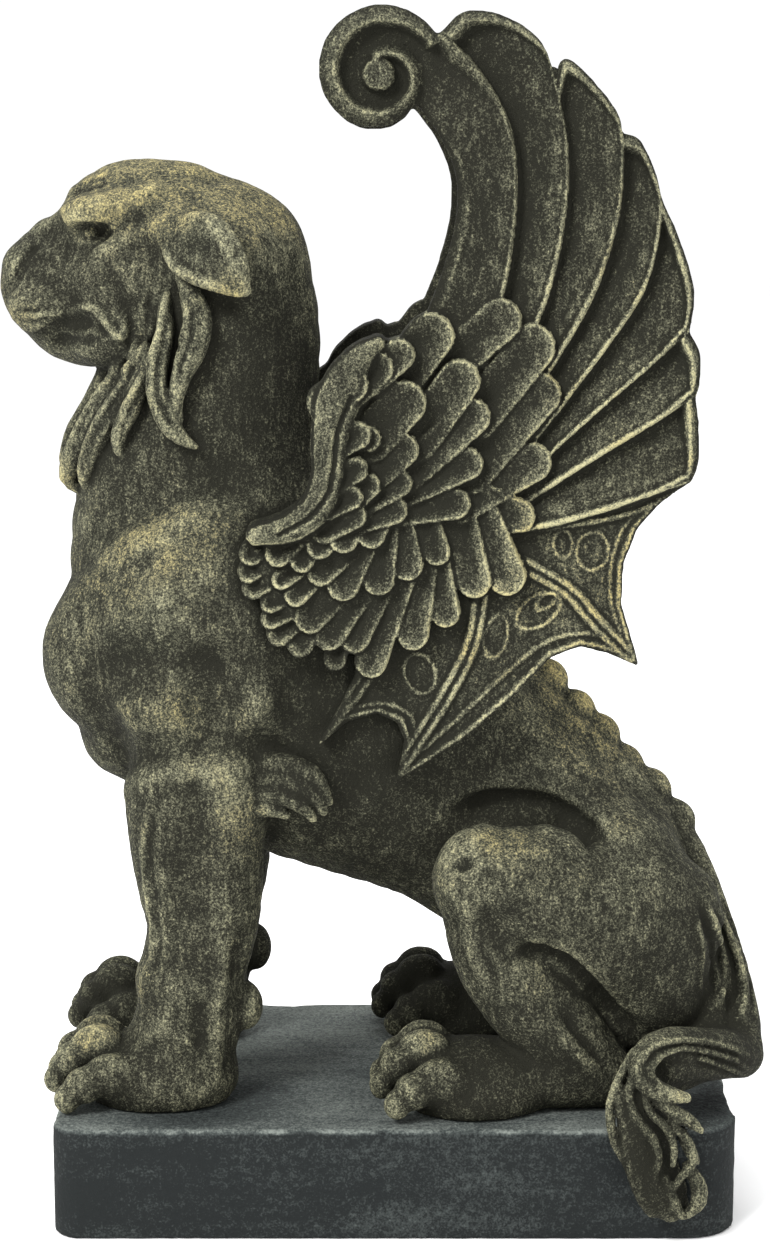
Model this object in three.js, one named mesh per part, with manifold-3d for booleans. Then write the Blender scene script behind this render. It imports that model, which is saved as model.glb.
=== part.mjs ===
// A seated gargoyle with a lion's head and scrolled wings, cast as one figure, on a rectangular plinth.
//
// Millimetres. The head looks along -X, +Z is up, and the origin is the centre of the plinth's underside.
// The figure is the same on both flanks apart from its tail, so most forms are given for the near flank,
// where Y is negative, and mirrored. Stations of a tube are [x, y, z, half depth, half width].

import * as THREE from "three";
import { mergeVertices } from "three/addons/utils/BufferGeometryUtils.js";
import { SimplifyModifier } from "three/addons/modifiers/SimplifyModifier.js";
import Module from "manifold-3d";

const wasm = await Module();
wasm.setup();

// Driving dimensions
const PLINTH = {
  length: 188,
  width: 110,
  height: 31.2,
  headCorner: 8,
  tailCorner: 14,
  cornerSteps: 3,
};
const GAP = 0.3; // between the figure and its plinth
const WELD = 1e-4; // vertices nearer than this are one
const HAIR = 0.03;
const FIGURE_TRIANGLES = 9500;

const OLIVE_STONE = { color: 0x6b6a4c, roughness: 0.82, metalness: 0 };
const SLATE_STONE = { color: 0x39444a, roughness: 0.86, metalness: 0 };

// Trunk, from the rump up through waist, ribs and chest to the hood over the mane
const TRUNK = [
  [67, 0, 44, 15, 22],
  [63, 0, 64, 22, 27],
  [53, 0, 88, 33, 29],
  [36, 0, 104, 36, 27],
  [20, 0, 116, 38, 27],
  [0, 0, 130, 45, 31],
  [-20, 0, 144, 52, 34],
  [-39, 0, 160, 57, 34],
  [-49, 0, 180, 45, 33],
  [-53, 0, 202, 36, 29],
  [-51, 0, 225, 30, 26],
  [-48, 0, 246, 27, 26],
  [-47, 0, 262, 22, 26],
  [-46, 0, 275, 17, 20],
];

// Skull and muzzle, from the nose back under the hood
const HEAD = [
  [-103, 0, 257, 9, 6.5],
  [-98, 0, 257, 14.5, 10.5],
  [-90, 0, 257, 19, 13],
  [-81, 0, 260, 24, 16.5],
  [-71, 0, 263, 28, 20],
  [-60, 0, 265, 26, 23],
];

// Rounded masses: centre, radii, tilt in degrees about Y, and whether the far flank has one too
const HEAD_MASSES = {
  hood: { at: [-47, 0, 267], radii: [22, 28, 19], tilt: 8 },
  noseBridge: { at: [-93, 0, 268], radii: [16, 7.5, 7], tilt: -30 },
  noseTip: { at: [-102, 0, 263], radii: [6, 7, 5] },
  nostril: { at: [-100, -5.5, 261], radii: [5.5, 4, 4], pair: true },
  upperLip: { at: [-93, -7, 251.5], radii: [13.5, 8.5, 9], pair: true },
  chin: { at: [-88, 0, 241], radii: [13, 10.5, 6], tilt: 14 },
  brow: { at: [-81, -11.5, 277], radii: [11, 8, 5], tilt: -14, pair: true },
  eye: { at: [-84, -13.5, 271], radii: [4, 3.5, 3], pair: true },
  cheek: { at: [-73, -13, 258], radii: [15, 10, 12], tilt: 15, pair: true },
  jaw: { at: [-73, -10, 245], radii: [17, 12, 10.5], tilt: -8, pair: true },
};
const BODY_MASSES = {
  breast: { at: [-71, 0, 159], radii: [28, 30, 29], tilt: -8 },
  breastHalf: { at: [-73, -13, 155], radii: [25, 20, 25], tilt: -8, pair: true },
  shoulder: { at: [-52, -17, 164], radii: [31, 25, 34], tilt: 10, pair: true },
  upperArm: { at: [-59, -22, 147], radii: [19, 18.5, 19], pair: true },
  elbowPad: { at: [-41, -22, 147], radii: [17, 18, 19], pair: true },
  ribs: { at: [-11, -13, 134], radii: [34, 20.5, 36], tilt: 35, pair: true },
  hip: { at: [61, -18, 85], radii: [24, 25, 31], tilt: -12, pair: true },
  rump: { at: [62, 0, 60], radii: [22, 20, 30] },
};

// The slit between the lips, as [x, y, z, radius]
const MOUTH = [
  [-106, -4, 247, 1.2],
  [-99, -12, 246, 1.5],
  [-92, -16, 247, 1.7],
  [-85, -19, 248, 1.5],
  [-77, -22, 244, 1],
];

const EAR = [
  [-61, -22, 269, 3, 3],
  [-56, -26, 271, 8, 3.5],
  [-49, -30, 268, 9, 3.5],
  [-43, -31, 262, 6, 3],
  [-40, -30, 257, 2, 2],
];

// Locks that hang from cheek, jaw and throat, each as [x, y, z, radius]
const LOCKS = [
  [[-63, -22, 254, 4], [-66, -25, 240, 4], [-67, -26, 228, 4], [-63, -27, 219, 3.6], [-55, -28, 215, 1.6]],
  [[-55, -24, 258, 4.5], [-54, -28, 247, 5], [-57, -28, 237, 4], [-61, -28, 230, 2.8], [-59, -28, 223, 1.4]],
  [[-68, -19, 247, 4], [-68, -22, 235, 4], [-72, -22, 225, 3.6], [-76, -21, 217, 2.8], [-73, -21, 210, 1.4]],
  [[-73, -14, 240, 4], [-75, -16, 229, 4], [-80, -15, 218, 4], [-84, -13, 208, 3], [-82, -12, 202, 1.4]],
  [[-76, -7, 237, 4], [-80, -9, 226, 4.5], [-86, -8, 214, 4.5], [-90, -7, 206, 3.4], [-89, -6, 199, 1.6]],
];
const CHIN_LOCK = [[-79, 0, 234, 4], [-84, 0, 223, 4.5], [-89, 0, 213, 4], [-91, 0, 204, 3]];

const FORELEG = [
  [-50, -24, 150, 23, 13],
  [-54, -26, 128, 21, 14.5],
  [-55, -27, 108, 19, 14.5],
  [-54, -27.5, 92, 17.3, 13.5],
  [-53.5, -28, 82, 15.5, 12.5],
  [-56, -28, 70, 14.6, 12],
  [-56.5, -28, 60, 15, 13],
  [-59, -28, 50, 15, 13.5],
  [-62, -28, 41, 16, 13],
];
const DEWCLAW = { at: [-42, -28, 58], radii: [4.5, 5, 7], pair: true };
const ELBOW_TUFTS = [
  [[-42, -28, 128, 5, 6], [-29, -37, 128, 4.5, 4], [-20, -38, 124, 1.8, 2]],
  [[-42, -28, 123, 5, 6], [-28, -37, 122, 4.5, 4], [-19, -37, 118, 1.8, 2]],
  [[-42, -28, 117, 5, 6], [-31, -35, 117, 4, 4], [-25, -35, 113, 1.5, 2]],
];
const FORE_PAW = { sole: [-71, -28, 39], soleRadii: [23, 15.5, 12], toeX: -84, toeY: -28, toeZ: 43 };

const THIGH = [
  [72, -22, 76, 24, 18],
  [62, -27, 82, 24, 19],
  [50, -31, 88, 19, 18],
  [36, -34, 94, 17, 15.5],
  [24, -35, 96, 13.5, 12],
];
const SHANK = [
  [23, -34, 92, 11, 11],
  [28, -35, 76, 12.5, 11.5],
  [36, -36, 63, 12.5, 11],
  [47, -36, 51, 12, 10],
  [56, -36, 43, 9, 8.5],
];
const FOOT = [
  [59, -35, 40, 9, 8],
  [44, -35, 40, 9, 10],
  [28, -35, 41, 9.5, 12],
  [14, -35, 41, 9, 14],
];
const HIND_PAW = { sole: [16, -35, 39], soleRadii: [18, 15, 11], toeX: 8, toeY: -35, toeZ: 43 };

// Toes fan out across a paw: the middle two reach furthest
const TOE = { count: 4, pitch: 7.8, fan: 0.35, outerSetback: 4 };
const TOE_SPINE = [[10, -4, 8, 4.8], [1, 1.5, 8.2, 5], [-6, 0, 6.6, 4.5], [-10.5, -5, 5, 4]];

// Knobs down the back: they follow the trunk's upper edge and shrink towards the tail
const BACK_KNOBS = [[44, 146], [52, 137], [59, 130], [66, 121], [74, 114], [81, 105]];
const KNOB_RADII = [6, 5, 5];

// Tail: strands sweep down behind the near haunch, curl forward round it and end in a tassel,
// which hangs over the plinth's near edge. Each point is [x, y, z, radius].
const TAIL_STRANDS = [
  [[78, 0, 104, 6], [84, -5, 91, 7], [91, -12, 75, 6], [96, -19, 58, 6], [96, -29, 44, 7], [86, -40, 42, 7]],
  [[76, -6, 98, 6], [81, -13, 84, 6], [85, -20, 68, 6], [88, -27, 52, 6], [84, -36, 46, 7], [75, -46, 45, 6]],
  [[84, -5, 88, 6], [91, -14, 66, 6], [95, -22, 48, 6], [91, -34, 37, 6], [81, -45, 39, 6], [71, -53, 41, 6]],
];
const TASSEL_LOCKS = [
  [[74, -49, 47, 5], [64, -57, 47, 5], [57, -60, 37, 4.5], [58, -60, 24, 4.5], [62, -60, 13, 3]],
  [[75, -50, 47, 5], [69, -59, 42, 5.5], [63, -61, 30, 5], [65, -61, 17, 4.5], [69, -60, 8, 3.5]],
  [[76, -50, 46, 5], [75, -59, 41, 5.5], [70, -61, 29, 5], [72, -61, 16, 5], [76, -60, 7, 4]],
  [[78, -50, 46, 5], [79, -58, 41, 5], [78, -60, 30, 5], [79, -60, 18, 4.5], [82, -59, 10, 3.5]],
  [[78, -49, 47, 4.5], [84, -56, 44, 4.5], [84, -59, 36, 4], [81, -59, 28, 3]],
];

// A wing lies in a plane of [x, z] points. Heights are counted outwards from its face, which stands
// WING.faceTop from the middle of the figure and further out where it grips ribs and shoulder.
const WING = { faceTop: 34, flareDown: 6, flareZ: [145, 215], flareForward: 4, flareX: [-40, 10] };
const FEATHER = { crest: 0, lead: -0.8, back: -8, backEcho: 0.4, stations: 9, crownPull: 4 };
// Across a feather, from just behind the ridge before it to its own ridge: share of the way, and height
const FEATHER_SECTION = [[0.13, -3.2], [0.42, -2.3], [0.75, -1.1], [1, FEATHER.crest]];

// The feathers' edges: the leading edge, then the light ridge that ends each feather, from the coverts out
const FEATHER_EDGES = [
  [[4, 240], [12, 260], [16, 275], [16, 287], [12, 297], [7, 304]],
  [[24, 236], [30, 262], [32, 283], [30, 300], [22, 314], [12, 324]],
  [[31, 230], [41, 257], [45, 278], [45, 296], [42, 309]],
  [[33, 222], [51, 252], [58, 272], [60, 288], [59, 298]],
  [[34, 212], [55, 240], [66, 257], [70, 273], [70, 281]],
  [[32, 204], [50, 221], [67, 236], [78, 246]],
  [[32, 198], [52, 211], [70, 222], [80, 229]],
  [[30, 192], [46, 195], [62, 200], [79, 206]],
];
// The outer end of each feather, from the edge before it to its own ridge
const CROWNS = [
  [[7, 304], [0, 314], [12, 324]],
  [[12, 324], [18, 329], [28, 328], [38, 321], [42, 309]],
  [[42, 309], [44, 317], [51, 312], [58, 303], [59, 298]],
  [[59, 298], [64, 296], [68, 288], [70, 281]],
  [[70, 281], [75, 270], [79, 257], [78, 246]],
  [[78, 246], [81, 240], [81, 233], [80, 229]],
  [[80, 229], [81, 220], [81, 211], [79, 206]],
];

// The scroll at the top: a broad spiral ridge that winds in over a sunk disc to a round knob
const SCROLL = {
  centre: [-4, 313],
  outerRadius: 18,
  innerRadius: 5,
  leadIn: [[33, 292], [28, 307], [19, 319]],
  startTurn: 62,
  endTurn: 480,
  tightening: 1.3,
  ridge: 2.3,
  ridgeRise: 1,
  ridgeStep: 30,
  floor: -3.4,
  floorTurns: [62, 345],
  floorStep: 30,
  floorJoin: [[10, 305], [17, 312], [14, 326]],
  knob: { at: [-4.5, -2, 313], radii: [4.4, 3.2, 4.4] },
};

// Coverts fan round a centre over the shoulder in rows of rounded leaves. REACH gives how far the outer row
// stretches at each angle from +X, in degrees, and LEAN the way its leaves point there.
const FAN = {
  centre: [-18, 205],
  first: 84,
  last: -150,
  rays: 72,
  core: 0.05,
  coreHeight: 5,
  back: -9,
  sweep: 0.55,
};
const REACH = [
  [-150, 26], [-130, 38], [-110, 46], [-90, 52], [-40, 54], [-15, 59], [5, 62], [25, 70], [44, 74], [56, 62],
  [70, 47], [84, 31],
];
const LEAN = [
  [-150, -135], [-100, -100], [-60, -72], [-30, -50], [-12, -22], [0, 18], [25, 52], [60, 68], [84, 80],
];
const LEAF = { notch: 0.17, edgeDrop: 1.8, step: 2.4, roundness: 3 };
// Rows from the core outwards: share of the reach at the tips, height of the tips, and number of leaves
const COVERT_ROWS = [
  { reach: 0.28, height: 4.6, leaves: 9 },
  { reach: 0.52, height: 3.6, leaves: 12 },
  { reach: 0.77, height: 2.6, leaves: 18 },
  { reach: 1, height: 1.4, leaves: 18 },
];
const CORE_KNOB = { at: [-17, 3, 206], radii: [6, 4, 6] };
// The rolled rim round the shoulder, as [x, z, radius]
const SHOULDER_RIM = [
  [0, 246, 2.6], [-8, 241, 3.6], [-14, 231, 4.4], [-16, 218, 5], [-20, 204, 5], [-28, 195, 4.6],
  [-39, 190, 3.4],
];

// The ribbed skin below the feathers, with a spike at the end of each rib
const SKIN_OUTLINE = [
  [20, 200], [79, 206], [72, 198], [65, 190], [63, 177], [66, 155], [57, 157], [47, 159], [38, 154],
  [24, 142], [9, 128], [-1, 124], [2, 132], [-3, 138], [-12, 134], [-22, 133], [-14, 150], [-4, 172],
];
const SKIN = { face: -3.5, back: -7.5, ribHalf: 1.8, ribStand: 2.4 };
const RIBS = [
  [[30, 192], [57, 198], [78, 206]],
  [[30, 186], [50, 174], [65, 157]],
  [[22, 174], [15, 151], [0, 126]],
  [[-6, 165], [-12, 151], [-20, 134]],
];

// Geometry helpers

function vector([x, y, z]) {
  return new THREE.Vector3(x, y, z);
}

function spline(points) {
  return new THREE.CatmullRomCurve3(points, false, "catmullrom", 0.5);
}

// A closed surface through rings of equally many points. Poles close it, or flat ends where there is none.
function skinOver(rings, firstPole, lastPole) {
  const positions = [];
  const indices = [];
  const size = rings[0].length;
  rings.flat().forEach((p) => positions.push(p.x, p.y, p.z));
  const centreOf = (ring) => ring.reduce((sum, p) => sum.add(p), new THREE.Vector3()).divideScalar(size);
  const ends = [firstPole ?? centreOf(rings[0]), lastPole ?? centreOf(rings.at(-1))];
  ends.forEach((p) => positions.push(p.x, p.y, p.z));
  const firstIndex = rings.length * size;
  for (let j = 0; j < size; j += 1) {
    const next = (j + 1) % size;
    for (let i = 0; i + 1 < rings.length; i += 1) {
      const here = i * size;
      const there = here + size;
      indices.push(here + j, here + next, there + next);
      indices.push(here + j, there + next, there + j);
    }
    const last = (rings.length - 1) * size;
    indices.push(firstIndex, next, j);
    indices.push(firstIndex + 1, last + j, last + next);
  }
  const geometry = new THREE.BufferGeometry();
  geometry.setAttribute("position", new THREE.Float32BufferAttribute(positions, 3));
  geometry.setIndex(indices);
  return geometry;
}

// A closed slab between two equal grids of points, each a list of columns.
function slab(outer, inner) {
  const columns = outer.length;
  const rows = outer[0].length;
  const positions = [...outer.flat(), ...inner.flat()].flatMap((p) => [p.x, p.y, p.z]);
  const indices = [];
  const quad = (a, b, c, d) => indices.push(a, b, c, a, c, d);
  const top = (i, j) => i * rows + j;
  const under = (i, j) => (columns + i) * rows + j;
  for (let i = 0; i + 1 < columns; i += 1) {
    for (let j = 0; j + 1 < rows; j += 1) {
      quad(top(i, j), top(i + 1, j), top(i + 1, j + 1), top(i, j + 1));
      quad(under(i, j), under(i, j + 1), under(i + 1, j + 1), under(i + 1, j));
    }
    quad(under(i, 0), under(i + 1, 0), top(i + 1, 0), top(i, 0));
    quad(top(i, rows - 1), top(i + 1, rows - 1), under(i + 1, rows - 1), under(i, rows - 1));
  }
  for (let j = 0; j + 1 < rows; j += 1) {
    quad(top(0, j), top(0, j + 1), under(0, j + 1), under(0, j));
    quad(under(columns - 1, j), under(columns - 1, j + 1), top(columns - 1, j + 1), top(columns - 1, j));
  }
  const geometry = new THREE.BufferGeometry();
  geometry.setAttribute("position", new THREE.Float32BufferAttribute(positions, 3));
  geometry.setIndex(indices);
  return geometry;
}

// A round-ended tube through stations. Its width axis starts along Y and is carried on without twisting.
function tube(stations, { sides = 8, rings = 6, domeRings = 1 } = {}) {
  const path = spline(stations.map(vector));
  const sizes = spline(stations.map(([, , , deep, wide = deep]) => new THREE.Vector3(deep, wide, 0)));
  let across = new THREE.Vector3(0, 1, 0);
  const sections = [];
  for (let i = 0; i <= rings; i += 1) {
    const t = i / rings;
    const tangent = path.getTangent(t);
    across = across.clone().addScaledVector(tangent, -across.dot(tangent)).normalize();
    const depth = new THREE.Vector3().crossVectors(tangent, across);
    sections.push({ centre: path.getPoint(t), tangent, across, depth, size: sizes.getPoint(t) });
  }
  const ringOf = ({ centre, tangent, across: w, depth, size }, scale, shift) =>
    Array.from({ length: sides }, (_, j) => {
      const angle = (2 * Math.PI * j) / sides;
      return centre
        .clone()
        .addScaledVector(w, size.y * scale * Math.cos(angle))
        .addScaledVector(depth, size.x * scale * Math.sin(angle))
        .addScaledVector(tangent, shift);
    });
  const reachOf = ({ size }) => 0.8 * Math.min(size.x, size.y);
  const first = sections[0];
  const last = sections.at(-1);
  const rounds = Array.from({ length: domeRings }, (_, k) => ((k + 1) / (domeRings + 1)) * (Math.PI / 2));
  const domeOf = (section, way) =>
    rounds.map((a) => ringOf(section, Math.cos(a), way * reachOf(section) * Math.sin(a)));
  const allRings = [
    ...domeOf(first, -1).reverse(),
    ...sections.map((section) => ringOf(section, 1, 0)),
    ...domeOf(last, 1),
  ];
  const poleOf = (section, way) =>
    section.centre.clone().addScaledVector(section.tangent, way * reachOf(section));
  return skinOver(allRings, poleOf(first, -1), poleOf(last, 1));
}

function roundedMass({ at, radii, tilt = 0 }, around = 12, down = 7) {
  return new THREE.SphereGeometry(1, around, down)
    .scale(...radii)
    .rotateY(THREE.MathUtils.degToRad(tilt))
    .translate(...at);
}

// A flat plate of [x, z] points. Its y values are heights over the wing's face, for onWing to place.
function plate(outline, back, face) {
  const shape = new THREE.Shape(outline.map(([x, z]) => new THREE.Vector2(x, z)));
  return new THREE.ExtrudeGeometry(shape, { depth: face - back, bevelEnabled: false })
    .rotateX(Math.PI / 2)
    .scale(1, -1, 1)
    .translate(0, back, 0);
}

// Turns a geometry into a solid: shared vertices merged, faces turned outwards.
function solidOf(geometry) {
  const bare = geometry.clone();
  bare.deleteAttribute("normal");
  bare.deleteAttribute("uv");
  const merged = mergeVertices(bare, WELD);
  const at = merged.getAttribute("position");
  const index = Array.from(merged.index.array);
  const corner = (i) => new THREE.Vector3().fromBufferAttribute(at, index[i]);
  let volume = 0;
  for (let i = 0; i < index.length; i += 3) {
    volume += corner(i).dot(corner(i + 1).cross(corner(i + 2)));
  }
  if (volume < 0) {
    index.reverse();
  }
  return new wasm.Manifold(
    new wasm.Mesh({ numProp: 3, vertProperties: at.array, triVerts: Uint32Array.from(index) }),
  );
}

// Joins solids two by two, which keeps each step small.
function join(solids) {
  if (solids.length === 1) {
    return solids[0];
  }
  const half = Math.ceil(solids.length / 2);
  return join(solids.slice(0, half)).add(join(solids.slice(half)));
}

// The outer skin of a solid: pockets sealed between joined forms are filled.
function filled(solid) {
  return solid.decompose().reduce((best, body) => (body.volume() > best.volume() ? body : best));
}

function geometryOf(solid) {
  const mesh = solid.getMesh();
  const geometry = new THREE.BufferGeometry();
  const positions = new Float32Array(mesh.numVert * 3);
  for (let i = 0; i < mesh.numVert; i += 1) {
    positions.set(mesh.vertProperties.subarray(i * mesh.numProp, i * mesh.numProp + 3), i * 3);
  }
  geometry.setAttribute("position", new THREE.BufferAttribute(positions, 3));
  geometry.setIndex(new THREE.BufferAttribute(mesh.triVerts, 1));
  geometry.computeVertexNormals();
  return geometry;
}

// The same solid with fewer triangles: the slivers that joining leaves go first.
async function simplified(solid, triangles) {
  const geometry = geometryOf(solid);
  geometry.deleteAttribute("normal");
  const surplus = Math.max(0, Math.floor((solid.numTri() - triangles) / 2));
  return solidOf(await new SimplifyModifier().modify(geometry, surplus));
}

// Where the surface touches itself, vertices share a place: each is drawn inwards by a hair, to part them.
function parted(geometry) {
  const at = geometry.getAttribute("position");
  const normal = geometry.getAttribute("normal");
  const placeOf = (i) => [at.getX(i), at.getY(i), at.getZ(i)].map((v) => v.toFixed(3)).join();
  const seen = new Map();
  for (let i = 0; i < at.count; i += 1) {
    seen.set(placeOf(i), [...(seen.get(placeOf(i)) ?? []), i]);
  }
  const shared = [...seen.values()].filter((vertices) => vertices.length > 1).flat();
  shared.forEach((i) => {
    const inward = new THREE.Vector3().fromBufferAttribute(normal, i).multiplyScalar(-HAIR);
    at.setXYZ(i, at.getX(i) + inward.x, at.getY(i) + inward.y, at.getZ(i) + inward.z);
  });
  return geometry;
}

function mirrored(geometry) {
  return geometry.clone().scale(1, -1, 1);
}

function bothFlanks(geometries) {
  return geometries.flatMap((geometry) => [geometry, mirrored(geometry)]);
}

// Straight-line reading of a table of [place, value], sorted by place.
function readTable(table, place) {
  const upper = Math.max(1, table.findIndex(([p]) => p >= place));
  const [p0, v0] = table[upper - 1];
  const [p1, v1] = table[upper];
  return v0 + ((v1 - v0) * (place - p0)) / (p1 - p0);
}

function share(value, [low, high]) {
  return THREE.MathUtils.clamp((value - low) / (high - low), 0, 1);
}

// Body

function masses(named, around, down) {
  return Object.values(named).flatMap((mass) => {
    const made = roundedMass(mass, around, down);
    return mass.pair ? bothFlanks([made]) : [made];
  });
}

function toe(place, towards) {
  const [x, y, z] = place;
  const stations = TOE_SPINE.map(([along, up, deep, wide]) => [
    x + along,
    y + towards * Math.min(0, along),
    z + up,
    deep,
    wide,
  ]);
  return tube(stations, { sides: 9, rings: 5, domeRings: 2 });
}

function paw({ sole, soleRadii, toeX, toeY, toeZ }) {
  const toes = Array.from({ length: TOE.count }, (_, i) => {
    const step = i - (TOE.count - 1) / 2;
    const setback = Math.abs(step) > 1 ? TOE.outerSetback : 0;
    return toe([toeX + setback, toeY + step * TOE.pitch, toeZ], -TOE.fan * step * 0.5);
  });
  return [roundedMass({ at: sole, radii: soleRadii }, 14, 9), ...toes];
}

function foreQuarter() {
  const tufts = ELBOW_TUFTS.map((tuft) => tube(tuft, { sides: 8, rings: 5 }));
  return [tube(FORELEG, { sides: 14, rings: 12 }), ...tufts, ...paw(FORE_PAW)];
}

function hindQuarter() {
  return [
    tube(THIGH, { sides: 16, rings: 8, domeRings: 3 }),
    tube(SHANK, { sides: 12, rings: 7 }),
    tube(FOOT, { sides: 10, rings: 5 }),
    ...paw(HIND_PAW),
  ];
}

function backKnobs() {
  return BACK_KNOBS.map(([x, z]) => roundedMass({ at: [x, 0, z], radii: KNOB_RADII, tilt: 50 }, 8, 6));
}

function mane() {
  const side = LOCKS.map((lock) => tube(lock, { sides: 8, rings: 9, domeRings: 1 }));
  const ear = tube(EAR, { sides: 10, rings: 7 });
  return [...bothFlanks([...side, ear]), tube(CHIN_LOCK, { sides: 8, rings: 6 })];
}

function tail() {
  const strands = TAIL_STRANDS.map((strand) => tube(strand, { sides: 9, rings: 14 }));
  const tassel = TASSEL_LOCKS.map((lock) => tube(lock, { sides: 8, rings: 9 }));
  return [...strands, ...tassel];
}

// Wings

function faceOf(x, z) {
  const down = 1 - share(z, WING.flareZ);
  const forward = 1 - share(x, WING.flareX);
  return WING.faceTop + WING.flareDown * down + WING.flareForward * forward * down;
}

// Moves a geometry whose y values are heights over the wing's face to the near wing.
function onWing(geometry) {
  const at = geometry.getAttribute("position");
  for (let i = 0; i < at.count; i += 1) {
    at.setY(i, -(faceOf(at.getX(i), at.getZ(i)) + at.getY(i)));
  }
  return geometry;
}

function edgeCurve(points) {
  return spline(points.map(([x, z]) => new THREE.Vector3(x, 0, z)));
}

// The long feathers as one slab. Each is low behind the ridge before it and rises to its own ridge, and its
// outer end is drawn out to its crown. The back repeats the ridges more faintly.
function longFeathers() {
  const edges = FEATHER_EDGES.map(edgeCurve);
  const crowns = CROWNS.map(edgeCurve);
  const columnOf = (feather, across, height) =>
    Array.from({ length: FEATHER.stations + 1 }, (_, j) => {
      const t = j / FEATHER.stations;
      const straightEnd = edges[feather].getPointAt(1).lerp(edges[feather + 1].getPointAt(1), across);
      const crown = crowns[feather].getPointAt(across);
      const drawnOut = crown.sub(straightEnd).multiplyScalar(t ** FEATHER.crownPull);
      const place = edges[feather].getPointAt(t).lerp(edges[feather + 1].getPointAt(t), across);
      return place.add(drawnOut).setY(height);
    });
  const outer = [columnOf(0, 0, FEATHER.lead)];
  crowns.forEach((_, feather) => {
    FEATHER_SECTION.forEach(([across, height]) => outer.push(columnOf(feather, across, height)));
  });
  const inner = outer.map((column) =>
    column.map((p) => p.clone().setY(FEATHER.back - FEATHER.backEcho * p.y)),
  );
  return slab(outer, inner);
}

// Distance of the scroll's outline from its centre at a turn in degrees.
function scrollRadius(turn) {
  const wound = Math.max(0, turn - 90) / (SCROLL.endTurn - 90);
  return SCROLL.outerRadius - (SCROLL.outerRadius - SCROLL.innerRadius) * wound ** SCROLL.tightening;
}

function scrollPoint(turn, inset) {
  const radius = scrollRadius(turn) - inset;
  const angle = THREE.MathUtils.degToRad(turn);
  return [SCROLL.centre[0] + radius * Math.cos(angle), SCROLL.centre[1] + radius * Math.sin(angle)];
}

function scroll() {
  const outline = [...SCROLL.floorJoin];
  for (let turn = SCROLL.floorTurns[0]; turn <= SCROLL.floorTurns[1]; turn += SCROLL.floorStep) {
    outline.push(scrollPoint(turn, SCROLL.ridge));
  }
  const spiral = [...SCROLL.leadIn];
  for (let turn = SCROLL.startTurn; turn <= SCROLL.endTurn; turn += SCROLL.ridgeStep) {
    spiral.push(scrollPoint(turn, SCROLL.ridge));
  }
  const halfHeight = (SCROLL.ridgeRise - FEATHER.back) / 2;
  const middle = SCROLL.ridgeRise - halfHeight;
  const stations = spiral.map(([x, z]) => [x, middle, z, SCROLL.ridge, halfHeight]);
  return [
    plate(outline, FEATHER.back + 1, SCROLL.floor),
    tube(stations, { sides: 8, rings: 2 * stations.length, domeRings: 1 }),
    roundedMass(SCROLL.knob, 10, 6),
  ];
}

// A place in the covert fan: out along the curved ray that ends at an angle, in the way its leaf leans.
function fanPoint(angle, out) {
  const reach = readTable(REACH, angle);
  const lean = THREE.MathUtils.degToRad(readTable(LEAN, angle));
  const centre = new THREE.Vector3(FAN.centre[0], 0, FAN.centre[1]);
  const a = THREE.MathUtils.degToRad(angle);
  const tip = new THREE.Vector3(Math.cos(a), 0, Math.sin(a)).multiplyScalar(reach).add(centre);
  const lead = new THREE.Vector3(Math.cos(lean), 0, Math.sin(lean));
  const bend = tip.clone().addScaledVector(lead, -reach * FAN.sweep);
  return new THREE.QuadraticBezierCurve3(centre, bend, tip).getPoint(out);
}

// How far round a leaf a ray falls: 0 in its middle and 1 at its sides. Odd rows are half a leaf along.
function asideIn(leaves, row, along) {
  const phase = (along * leaves + (row % 2) / 2) % 1;
  return Math.abs(2 * phase - 1);
}

// The coverts as one body, a ring of points for each ray: up over each row's tips and down to the next row.
function coverts() {
  const rings = Array.from({ length: FAN.rays + 1 }, (_, i) => {
    const angle = THREE.MathUtils.lerp(FAN.first, FAN.last, i / FAN.rays);
    const ring = [fanPoint(angle, FAN.core).setY(FAN.back), fanPoint(angle, FAN.core).setY(FAN.coreHeight)];
    COVERT_ROWS.forEach(({ reach, height, leaves }, row) => {
      const aside = asideIn(leaves, row, i / FAN.rays);
      const out = reach * (1 - LEAF.notch * aside ** LEAF.roundness);
      const top = height - LEAF.edgeDrop * aside ** 2;
      ring.push(fanPoint(angle, out - 0.02).setY(top), fanPoint(angle, out).setY(top - LEAF.step));
    });
    ring.push(ring.at(-1).clone().setY(FAN.back));
    return ring;
  });
  return [skinOver(rings), roundedMass(CORE_KNOB, 10, 6)];
}

function ribbedSkin() {
  const ribs = RIBS.map((rib) => {
    const halfWidth = (SKIN.face - SKIN.back) / 2 + SKIN.ribStand / 2;
    const stations = rib.map(([x, z]) => [x, SKIN.back + halfWidth, z, SKIN.ribHalf, halfWidth]);
    return tube(stations, { sides: 8, rings: 6, domeRings: 1 });
  });
  return [plate(SKIN_OUTLINE, SKIN.back, SKIN.face), ...ribs];
}

function shoulderRim() {
  const stations = SHOULDER_RIM.map(([x, z, radius]) => [x, 0, z, radius]);
  return tube(stations, { sides: 10, rings: 12 });
}

function wing() {
  return [longFeathers(), ...scroll(), ...coverts(), ...ribbedSkin(), shoulderRim()].map(onWing);
}

// Pieces

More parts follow.
